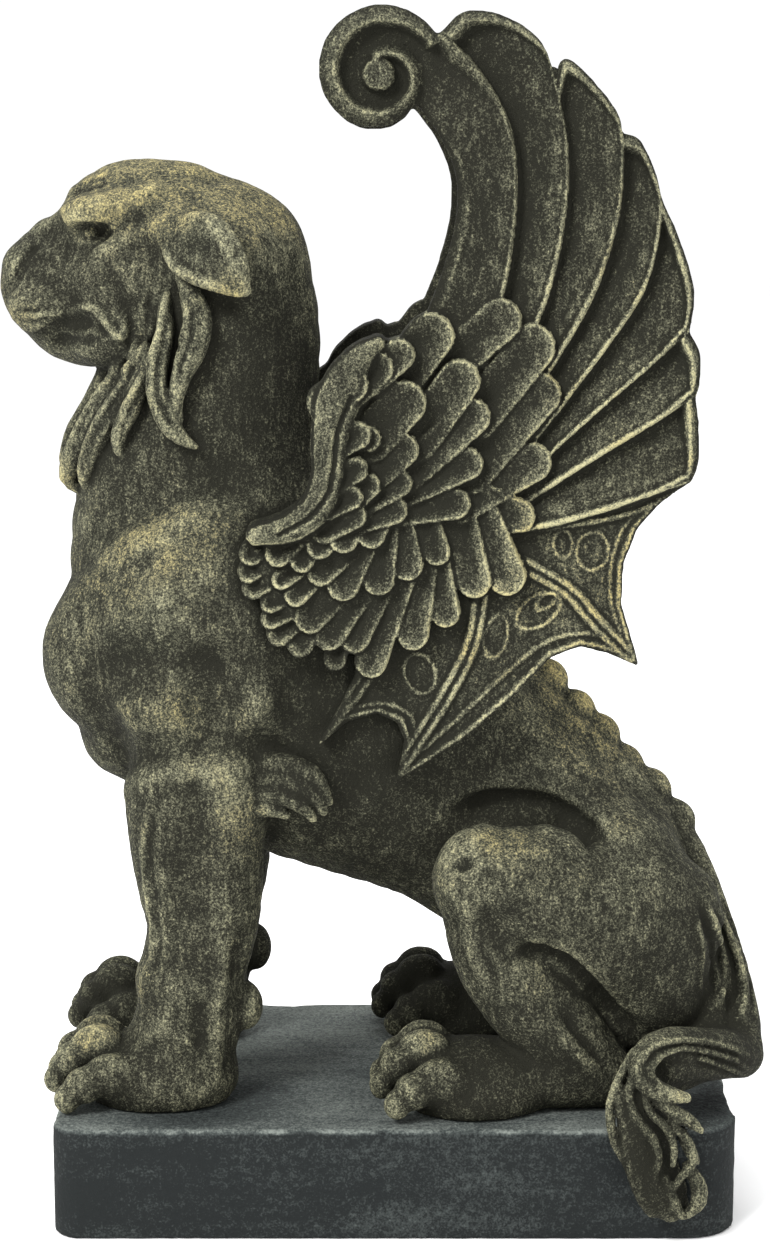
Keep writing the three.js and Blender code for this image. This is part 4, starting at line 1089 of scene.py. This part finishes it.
def add_wing(field):
    relief = Relief()
    paint_skin(relief)
    for number in range(len(CROWNS)):
        paint_feather(relief, number)
    paint_scroll(relief)
    paint_coverts(relief)
    paint_shoulder_rim(relief)
    covered = (relief.top > -FAR / 2).astype(float)
    share = box_blur(covered, EDGE_BLUR)
    near = box_blur(covered, 11)
    filled = box_blur(np.where(covered > 0, relief.top, 0), 11) / np.maximum(near, 1e-6)
    top = np.where(covered > 0, relief.top, np.where(near > 0, filled, -3))
    top = box_blur(top, 3)
    outline = (0.5 - share) * EDGE_BLUR * RELIEF_STEP
    far = box_blur(share, 15)
    outline = np.where(share <= 0, (EDGE_BLUR / 2 + 7 * (1 - far)) * RELIEF_STEP, outline)
    window = field.window((WING_LOW[0], -66, WING_LOW[1]), (WING_HIGH[0], -18, WING_HIGH[1]))
    x, y, z = field.axis(0)[window[0]], field.axis(1)[window[1]], field.axis(2)[window[2]]
    plane = wing_plane(x[:, None], z[None, :])
    top_here, outline_here = read_relief(top, x, z), read_relief(outline, x, z)
    slope = np.sqrt(1 + sum(g**2 for g in np.gradient(top_here, field.step)))
    slope = np.minimum(slope, 2.2)
    out = -y[None, :, None] - plane[:, None, :]
    face = (out - top_here[:, None, :]) / slope[:, None, :]
    behind = WING["back"] - out
    found = np.maximum(np.maximum(face, behind), outline_here[:, None, :]).astype(np.float32)
    field.unite(window, found, 0.6)
    return top


def tail(field):
    for strand in TAIL_STRANDS:
        add_limb(field, strand, 1)
    add_limb(field, TASSEL_CORE, 1)
    add_limb(field, TAIL_BAND, 1.5)
    grooves(field, TAIL_GROOVES)
    ridges(field, TAIL_RIDGES)
    for lock in TASSEL_LOCKS:
        add_limb(field, lock, 0.4)
    grooves(field, TASSEL_GROOVES)


def clear_the_plinth(field):
    """Cuts away what would reach into the plinth's block, with the gap the frame leaves."""
    half_length, half_width = PLINTH["length"] / 2 + GAP, PLINTH["width"] / 2 + GAP
    window = field.window((-half_length - 3, -half_width - 3, -1), (half_length + 3, half_width + 3, PLINTH["height"] + 3))
    x, y, z = field.places(window)
    block = np.maximum(np.maximum(np.abs(x) - half_length, np.abs(y) - half_width), z - PLINTH["height"] - GAP)
    field.carve(window, block, 0)


# Meshes


def surface_net(field):
    """Vertices in mm and quads of the surface where the field is nought."""
    values = field.values
    inside = values < 0
    nx, ny, nz = values.shape
    corners = [(i, j, k) for i in (0, 1) for j in (0, 1) for k in (0, 1)]
    count = np.zeros((nx - 1, ny - 1, nz - 1), np.uint8)
    for i, j, k in corners:
        count += inside[i : nx - 1 + i, j : ny - 1 + j, k : nz - 1 + k]
    mixed = (count > 0) & (count < 8)
    cells = np.argwhere(mixed)
    number = np.full(mixed.shape, -1, np.int32)
    number[mixed] = np.arange(len(cells))
    total = np.zeros((len(cells), 3))
    hits = np.zeros(len(cells))
    for corner in corners:
        for axis in range(3):
            if corner[axis]:
                continue
            step = np.eye(3, dtype=int)[axis]
            a = values[tuple((cells + corner).T)]
            b = values[tuple((cells + corner + step).T)]
            crossing = (a < 0) != (b < 0)
            share = np.where(crossing, a / np.where(crossing, a - b, 1), 0)
            place = np.array(corner) + share[:, None] * step
            total += place * crossing[:, None]
            hits += crossing
    vertices = field.low + field.step * (cells + total / hits[:, None])
    quads = []
    for axis in range(3):
        other = [i for i in range(3) if i != axis]
        first = [slice(None)] * 3
        second = [slice(None)] * 3
        first[axis], second[axis] = slice(0, -1), slice(1, None)
        change = inside[tuple(first)] != inside[tuple(second)]
        edges = np.argwhere(change)
        edges = edges[(edges[:, other[0]] > 0) & (edges[:, other[1]] > 0)]
        edges = edges[(edges[:, other[0]] < values.shape[other[0]] - 1) & (edges[:, other[1]] < values.shape[other[1]] - 1)]
        ring = []
        for back_a, back_b in ((0, 0), (1, 0), (1, 1), (0, 1)):
            cell = edges.copy()
            cell[:, other[0]] -= back_a
            cell[:, other[1]] -= back_b
            ring.append(number[tuple(cell.T)])
        ring = np.stack(ring, axis=1)
        flip = inside[tuple(edges.T)] == (axis == 1)
        ring[flip] = ring[flip][:, ::-1]
        quads.append(ring)
    return vertices, np.vstack(quads)


def mesh_object(name, vertices, faces):
    """A piece from vertices in metres and faces that all have the same number of corners."""
    mesh = bpy.data.meshes.new(name)
    corners = faces.shape[1]
    mesh.vertices.add(len(vertices))
    mesh.vertices.foreach_set("co", vertices.astype(np.float32).ravel())
    mesh.loops.add(faces.size)
    mesh.loops.foreach_set("vertex_index", faces.astype(np.int32).ravel())
    mesh.polygons.add(len(faces))
    mesh.polygons.foreach_set("loop_start", np.arange(0, faces.size, corners, dtype=np.int32))
    mesh.update(calc_edges=True)
    mesh.validate()
    piece = bpy.data.objects.new(name, mesh)
    bpy.context.collection.objects.link(piece)
    return piece


def thin_out(piece, triangles):
    """Cuts the mesh down to about this many triangles, keeping edges and creases."""
    now = 2 * len(piece.data.polygons)
    if now > triangles:
        modifier = piece.modifiers.new("thin", "DECIMATE")
        modifier.ratio = triangles / now
        depsgraph = bpy.context.evaluated_depsgraph_get()
        thinned = bpy.data.meshes.new_from_object(piece.evaluated_get(depsgraph))
        piece.modifiers.clear()
        piece.data = thinned
    piece.data.shade_smooth()


def blurred(values, width, rounds=2):
    """A box blur over width cells along each axis, made soft by repeating it."""
    values = values.astype(np.float32)
    half = width // 2
    for axis in [0, 1, 2] * rounds:
        size = values.shape[axis]
        pad = [(half + 1, half) if i == axis else (0, 0) for i in range(3)]
        run = np.cumsum(np.pad(values, pad, mode="edge"), axis=axis, dtype=np.float64)
        upper = np.take(run, np.arange(2 * half + 1, 2 * half + 1 + size), axis=axis)
        lower = np.take(run, np.arange(0, size), axis=axis)
        values = ((upper - lower) / (2 * half + 1)).astype(np.float32)
    return values


def read(values, low, step, points):
    """Trilinear reading of a grid at points in mm."""
    place = (points - low) / step
    limit = np.array(values.shape) - 2
    whole = np.clip(np.floor(place).astype(int), 0, limit)
    part = np.clip(place - whole, 0, 1)
    total = np.zeros(len(points))
    for corner in range(8):
        up = [(corner >> i) & 1 for i in range(3)]
        weight = np.prod([part[:, i] if up[i] else 1 - part[:, i] for i in range(3)], axis=0)
        total += weight * values[tuple((whole[:, i] + up[i]) for i in range(3))]
    return total


def note(piece, name, values):
    """Keeps one number for each vertex, for the material to read."""
    attribute = piece.data.attributes.get(name) or piece.data.attributes.new(name, "FLOAT", "POINT")
    attribute.data.foreach_set("value", values.astype(np.float32))


def vertex_places(piece):
    places = np.empty(len(piece.data.vertices) * 3, np.float32)
    piece.data.vertices.foreach_get("co", places)
    return places.reshape(-1, 3) / MM


def add_relief_attributes(piece, field):
    """Notes on each vertex how far it stands proud of, or lies below, the surface around it, near and wide."""
    points = vertex_places(piece)
    for name, reach, limit in (("crest", 1.6, 2.0), ("swell", 6.0, 6.0)):
        stride = max(1, int(reach / field.step / 3))
        coarse = np.clip(field.values[::stride, ::stride, ::stride], -limit, limit)
        width = 2 * int(round(reach / (field.step * stride) / 2)) + 1
        soft = blurred(coarse, max(3, width))
        note(piece, name, read(soft, field.low, field.step * stride, points) / reach)


def add_wing_relief(piece, height):
    """The wings' fine and broad relief, from their painted heights, because a thin slab stands proud everywhere."""
    points = vertex_places(piece)
    crest = np.clip((height - box_blur(height, 5)) / 0.55, -1, 0.4)
    swell = np.clip(box_blur(height, 5) - box_blur(box_blur(height, 31), 31), -5, 1.2) / 6
    i = np.clip((points[:, 0] - WING_LOW[0]) / RELIEF_STEP, 0, height.shape[0] - 1).astype(int)
    j = np.clip((points[:, 2] - WING_LOW[1]) / RELIEF_STEP, 0, height.shape[1] - 1).astype(int)
    out = np.abs(points[:, 1]) - wing_plane(points[:, 0], points[:, 2])
    front = smooth_step(out, WING["back"] + 0.5, WING["back"] + 3)
    dull = 1 - 0.55 * smooth_step(points[:, 2], 235, 290)
    note(piece, "crest", crest[i, j] * front * dull)
    note(piece, "swell", swell[i, j] * front)


def roughen(piece, low_cell=4.0, high_cell=2.0):
    """Moves the surface in and out a little, as cast stone is never smooth, and notes it as grit."""
    points = vertex_places(piece)
    lattice = Lattice(3)
    x, y, z = points.T
    grit = 0.6 * lattice.at(x, y, z, low_cell) + 0.6 * lattice.at(x, y, z + 7, high_cell)
    normals = np.empty(len(points) * 3, np.float32)
    piece.data.vertices.foreach_get("normal", normals)
    moved = points + normals.reshape(-1, 3) * (GRIT * grit)[:, None]
    piece.data.vertices.foreach_set("co", (moved * MM).astype(np.float32).ravel())
    piece.data.update()
    note(piece, "grit", grit)


def add_wash_light_and_shade(piece):
    """Notes how much the olive wash holds at each vertex, from the worn spots on both flanks, some of which are painted
    light and painted shade, and adds painted shade on the far side, darkest near the ground.
    """
    points = vertex_places(piece)
    wash_light_and_shade = np.zeros(len(points))
    for x, y, z, reach, strength in WASH_LIGHT_AND_SHADE_SPOTS:
        off = (points[:, 0] - x) ** 2 + (np.abs(points[:, 1]) - y) ** 2 + (points[:, 2] - z) ** 2
        wash_light_and_shade += strength * np.exp(-off / reach**2)
    # painted shade: the far side keeps half its wash and is darkened, most of all low down near the paws
    far = smooth_step(points[:, 1], 0, 20)
    shaded = far * (1 - 0.7 * smooth_step(points[:, 2], 50, 90))
    note(piece, "wash_light_and_shade", np.clip(wash_light_and_shade, -1, 1) * (1 - 0.5 * far) - shaded)


def body_field():
    half = Field((-112, -66, 0), (108, 0, 334), STEP)
    half.low[1] = -STEP * (half.values.shape[1] - 1)
    near_half(half)
    return half


def mirrored_field(half):
    whole = Field(half.low, (108, -half.low[1], 334), half.step)
    whole.values = np.concatenate([half.values, half.values[:, -2::-1, :]], axis=1)
    return whole


def build_body(half):
    whole = mirrored_field(half)
    tail(whole)
    clear_the_plinth(whole)
    vertices, quads = surface_net(whole)
    piece = mesh_object("gargoyle_figure", vertices * MM, quads)
    thin_out(piece, BODY_TRIANGLES)
    return piece, whole


def build_wings():
    field = Field((WING_LOW[0], -66, WING_LOW[1]), (WING_HIGH[0], -16, WING_HIGH[1]), WING_STEP)
    height = add_wing(field)
    vertices, quads = surface_net(field)
    far = vertices * (1, -1, 1)
    both = np.vstack([vertices, far])
    piece = mesh_object("gargoyle_wings", both * MM, np.vstack([quads, quads[:, ::-1] + len(vertices)]))
    thin_out(piece, WING_TRIANGLES)
    return piece, height


def build_figure():
    half = body_field()
    body, whole = build_body(half)
    wings, height = build_wings()
    near = Field(half.low, (108, 0, 334), half.step)
    near.values = half.values
    add_wing(near)
    whole.values = np.minimum(whole.values, mirrored_field(near).values)
    for piece in (body, wings):
        add_relief_attributes(piece, whole)
        add_wash_light_and_shade(piece)
        roughen(piece)
    add_wing_relief(wings, height)
    return body, wings


def build_plinth():
    step = PLINTH_STEP
    half_length, half_width, height = PLINTH["length"] / 2, PLINTH["width"] / 2, PLINTH["height"]
    field = Field((-half_length - 3, -half_width - 3, -3), (half_length + 3, half_width + 3, height + 3), step)
    x, y, z = field.places(field.window(field.low, (half_length + 3, half_width + 3, height + 3)))
    corner = np.where(x < 0, PLINTH["head_corner"], PLINTH["tail_corner"])
    out_x = np.maximum(np.abs(x) - half_length + corner, 0)
    out_y = np.maximum(np.abs(y) - half_width + corner, 0)
    side = np.sqrt(out_x**2 + out_y**2) - corner
    chips = np.clip(Lattice(5).at(x, y, z, 6) + 0.15, 0, 1) * np.exp(-(side**2 + (z - height) ** 2) / 2.4**2)
    block = np.maximum(np.maximum(side, z - height), -z) + 1.1 * chips
    field.values = np.broadcast_to(block, field.values.shape).astype(np.float32)
    vertices, quads = surface_net(field)
    piece = mesh_object("worn_plinth", vertices * MM, quads)
    thin_out(piece, PLINTH_TRIANGLES)
    add_relief_attributes(piece, field)
    points = vertex_places(piece)
    # painted light: the top face is given a paler colour, as light from above would make it
    topside = smooth_step(points[:, 2], height - 1.2, height - 0.2)
    # painted shadow darkens the top where the figure stands over it
    for x, y, reach, strength in PLINTH_SHADOW_SPOTS:
        topside *= 1 - strength * np.exp(-((points[:, 0] - x) ** 2 + (points[:, 1] - y) ** 2) / reach**2)
    note(piece, "topside", topside)
    roughen(piece)
    return piece


# Materials, in plain nodes over the relief attributes


class Nodes:
    """Short ways to make and wire the nodes of one material."""

    def __init__(self, name):
        self.material = bpy.data.materials.new(name)
        self.material.use_nodes = True
        self.tree = self.material.node_tree
        self.shader = self.tree.nodes["Principled BSDF"]
        self.object_space = self.tree.nodes.new("ShaderNodeTexCoord").outputs["Object"]

    def wire(self, source, socket):
        if isinstance(source, bpy.types.NodeSocket):
            self.tree.links.new(source, socket)
        else:
            socket.default_value = source

    def noise(self, scale, detail=3.0, roughness=0.55, stretch=(1, 1, 1)):
        """Noise of about -1 to 1, whose scale is in lumps a metre."""
        place = self.tree.nodes.new("ShaderNodeMapping")
        place.inputs["Scale"].default_value = stretch
        self.wire(self.object_space, place.inputs["Vector"])
        texture = self.tree.nodes.new("ShaderNodeTexNoise")
        texture.inputs["Scale"].default_value = scale
        texture.inputs["Detail"].default_value = detail
        texture.inputs["Roughness"].default_value = roughness
        self.wire(place.outputs["Vector"], texture.inputs["Vector"])
        return self.math("MULTIPLY_ADD", texture.outputs["Fac"], 3.4, -1.7)

    def attribute(self, name):
        node = self.tree.nodes.new("ShaderNodeAttribute")
        node.attribute_name = name
        return node.outputs["Fac"]

    def math(self, operation, *values):
        node = self.tree.nodes.new("ShaderNodeMath")
        node.operation = operation
        for value, socket in zip(values, node.inputs):
            self.wire(value, socket)
        return node.outputs[0]

    def weighed(self, *pairs):
        """The sum of value times weight, over pairs of them."""
        total = 0.0
        for value, weight in pairs:
            total = self.math("MULTIPLY_ADD", value, weight, total)
        return total

    def ramp(self, value, stops):
        node = self.tree.nodes.new("ShaderNodeValToRGB")
        elements = node.color_ramp.elements
        while len(elements) < len(stops):
            elements.new(0.5)
        for element, (place, colour) in zip(elements, stops):
            element.position = place
            element.color = (*colour, 1)
        self.wire(value, node.inputs["Fac"])
        return node.outputs["Color"]

    def mixed(self, share, first, second):
        node = self.tree.nodes.new("ShaderNodeMix")
        node.data_type = "RGBA"
        for value, name in ((share, "Factor_Float"), (first, "A_Color"), (second, "B_Color")):
            self.wire(value, next(socket for socket in node.inputs if socket.identifier == name))
        return next(socket for socket in node.outputs if socket.identifier == "Result_Color")

    def between(self, value, low, high):
        node = self.tree.nodes.new("ShaderNodeMapRange")
        node.interpolation_type = "SMOOTHSTEP"
        node.inputs["From Min"].default_value = low
        node.inputs["From Max"].default_value = high
        self.wire(value, node.inputs["Value"])
        return node.outputs["Result"]

    def edge_line(self, width=0.9):
        """One along the plinth's upper edge, on both faces, and nought elsewhere."""
        place = self.tree.nodes.new("ShaderNodeSeparateXYZ")
        self.wire(self.object_space, place.inputs["Vector"])
        x, y, z = place.outputs
        in_x = self.math("SUBTRACT", PLINTH["length"] / 2 * MM, self.math("ABSOLUTE", x))
        in_y = self.math("SUBTRACT", PLINTH["width"] / 2 * MM, self.math("ABSOLUTE", y))
        down = self.math("SUBTRACT", PLINTH["height"] * MM, z)
        off = self.math("ADD", self.math("ABSOLUTE", self.math("MINIMUM", in_x, in_y)), self.math("ABSOLUTE", down))
        return self.between(off, 2 * width * MM, 0.4 * width * MM)

    def bump(self, height, distance):
        node = self.tree.nodes.new("ShaderNodeBump")
        node.inputs["Distance"].default_value = distance
        self.wire(height, node.inputs["Height"])
        self.wire(node.outputs["Normal"], self.shader.inputs["Normal"])


STONE_DARK = (0.013, 0.013, 0.009)
STONE_MID = (0.056, 0.0565, 0.038)
STONE_WORN = (0.19, 0.185, 0.118)
STONE_BRIGHT = (0.39, 0.365, 0.21)
OCHRE_WORN = (0.205, 0.178, 0.088)
OCHRE_BRIGHT = (0.43, 0.36, 0.15)


def olive_stone():
    """Dark cast stone with a dry-brushed olive wash that holds on what stands proud, with painted light and painted
    shade laid on at chosen spots.
    """
    n = Nodes("olive_stone")
    patches = n.noise(30, 3)
    mottle = n.noise(170, 3, 0.6)
    brushed = n.noise(600, 4, 0.7, (1, 1, 0.25))
    grain = n.noise(1100, 3, 0.7)
    specks = n.noise(2000, 2, 0.7)
    cover = n.weighed(
        (n.attribute("crest"), 1.3),
        (n.attribute("swell"), 1.0),
        # this attribute lays on painted light and painted shade as well as the wash's wear
        (n.attribute("wash_light_and_shade"), 0.3),
        (n.attribute("grit"), 0.08),
        (patches, 0.16),
        (mottle, 0.14),
        (brushed, 0.3),
        (grain, 0.36),
        (specks, 0.52),
        (1.0, 0.1),
    )
    olive = n.ramp(cover, [(0.0, STONE_DARK), (0.34, STONE_MID), (0.68, STONE_WORN), (1.0, STONE_BRIGHT)])
    ochre = n.ramp(cover, [(0.0, STONE_DARK), (0.34, STONE_MID), (0.68, OCHRE_WORN), (1.0, OCHRE_BRIGHT)])
    warmth = n.between(n.weighed((n.attribute("wash_light_and_shade"), 1.0), (n.noise(70, 3), 0.6)), 0.0, 0.9)
    n.wire(n.mixed(warmth, olive, ochre), n.shader.inputs["Base Color"])
    n.shader.inputs["Roughness"].default_value = 0.82
    n.shader.inputs["Specular IOR Level"].default_value = 0.09
    n.bump(n.weighed((brushed, 0.5), (grain, 0.5), (specks, 0.3)), 0.0003)
    return n.material


SLATE_DARK = (0.011, 0.013, 0.013)
SLATE_MID = (0.044, 0.051, 0.049)
SLATE_PALE = (0.16, 0.176, 0.16)


def slate_stone():
    """The plinth's blue-grey stone, with painted light making it paler on top and painted shadow on the top by the
    figure, with soft streaks and worn edges.
    """
    n = Nodes("slate_stone")
    clouds = n.noise(35, 4)
    streaks = n.noise(60, 4, 0.6, (0.25, 1, 1.6))
    grain = n.noise(700, 3, 0.65)
    specks = n.noise(1600, 2, 0.6)
    cover = n.weighed(
        # painted light on the top face, with painted shadow where the figure stands over it
        (n.attribute("topside"), 0.66),
        (n.math("MULTIPLY", n.edge_line(), n.between(n.noise(150, 4, 0.7), -0.3, 0.5)), 0.55),
        (n.attribute("grit"), 0.05),
        (clouds, 0.1),
        (streaks, 0.26),
        (grain, 0.3),
        (specks, 0.32),
    )
    stops = [(0.0, SLATE_DARK), (0.45, SLATE_MID), (1.0, SLATE_PALE)]
    n.wire(n.ramp(cover, stops), n.shader.inputs["Base Color"])
    n.shader.inputs["Roughness"].default_value = 0.8
    n.shader.inputs["Specular IOR Level"].default_value = 0.12
    n.bump(n.weighed((grain, 0.5), (streaks, 0.3)), 0.00025)
    return n.material


# Stage


def floor():
    n = Nodes("pale_floor")
    n.shader.inputs["Base Color"].default_value = (0.96, 0.96, 0.96, 1)
    n.shader.inputs["Roughness"].default_value = 0.8
    size = 6.0
    corners = np.array([(-size, -size, 0), (size, -size, 0), (size, size, 0), (-size, size, 0)])
    piece = mesh_object("floor", corners, np.array([[0, 1, 2, 3]]))
    piece.data.materials.append(n.material)


def lamp(name, place, size, power):
    """A soft square lamp, aimed at the middle of the figure."""
    data = bpy.data.lights.new(name, "AREA")
    data.size = size
    data.energy = power
    holder = bpy.data.objects.new(name, data)
    holder.location = place
    way = np.array((0, 0, 0.17)) - np.array(place)
    flat = math.hypot(way[0], way[1])
    holder.rotation_euler = (math.atan2(flat, -way[2]), 0, math.atan2(way[1], way[0]) - math.pi / 2)
    bpy.context.collection.objects.link(holder)


def light_the_stage():
    scene = bpy.context.scene
    scene.view_settings.view_transform = "Standard"
    world = bpy.data.worlds.new("studio")
    world.use_nodes = True
    background = world.node_tree.nodes["Background"]
    background.inputs["Color"].default_value = (1.0, 1.0, 1.0, 1)
    background.inputs["Strength"].default_value = 1.05
    scene.world = world
    lamp("key", (-0.8, -1.0, 1.2), 0.5, 34)
    lamp("fill", (1.0, -1.1, 0.5), 0.9, 5)
    lamp("top", (0.0, 0.3, 1.5), 0.8, 12)


# Assembly

stone = olive_stone()
for piece in build_figure():
    piece.data.materials.append(stone)
    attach(piece, "root")
    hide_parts("gargoyle")

plinth = build_plinth()
plinth.data.materials.append(slate_stone())
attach(plinth, "root")
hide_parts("plinth")

floor()
light_the_stage()
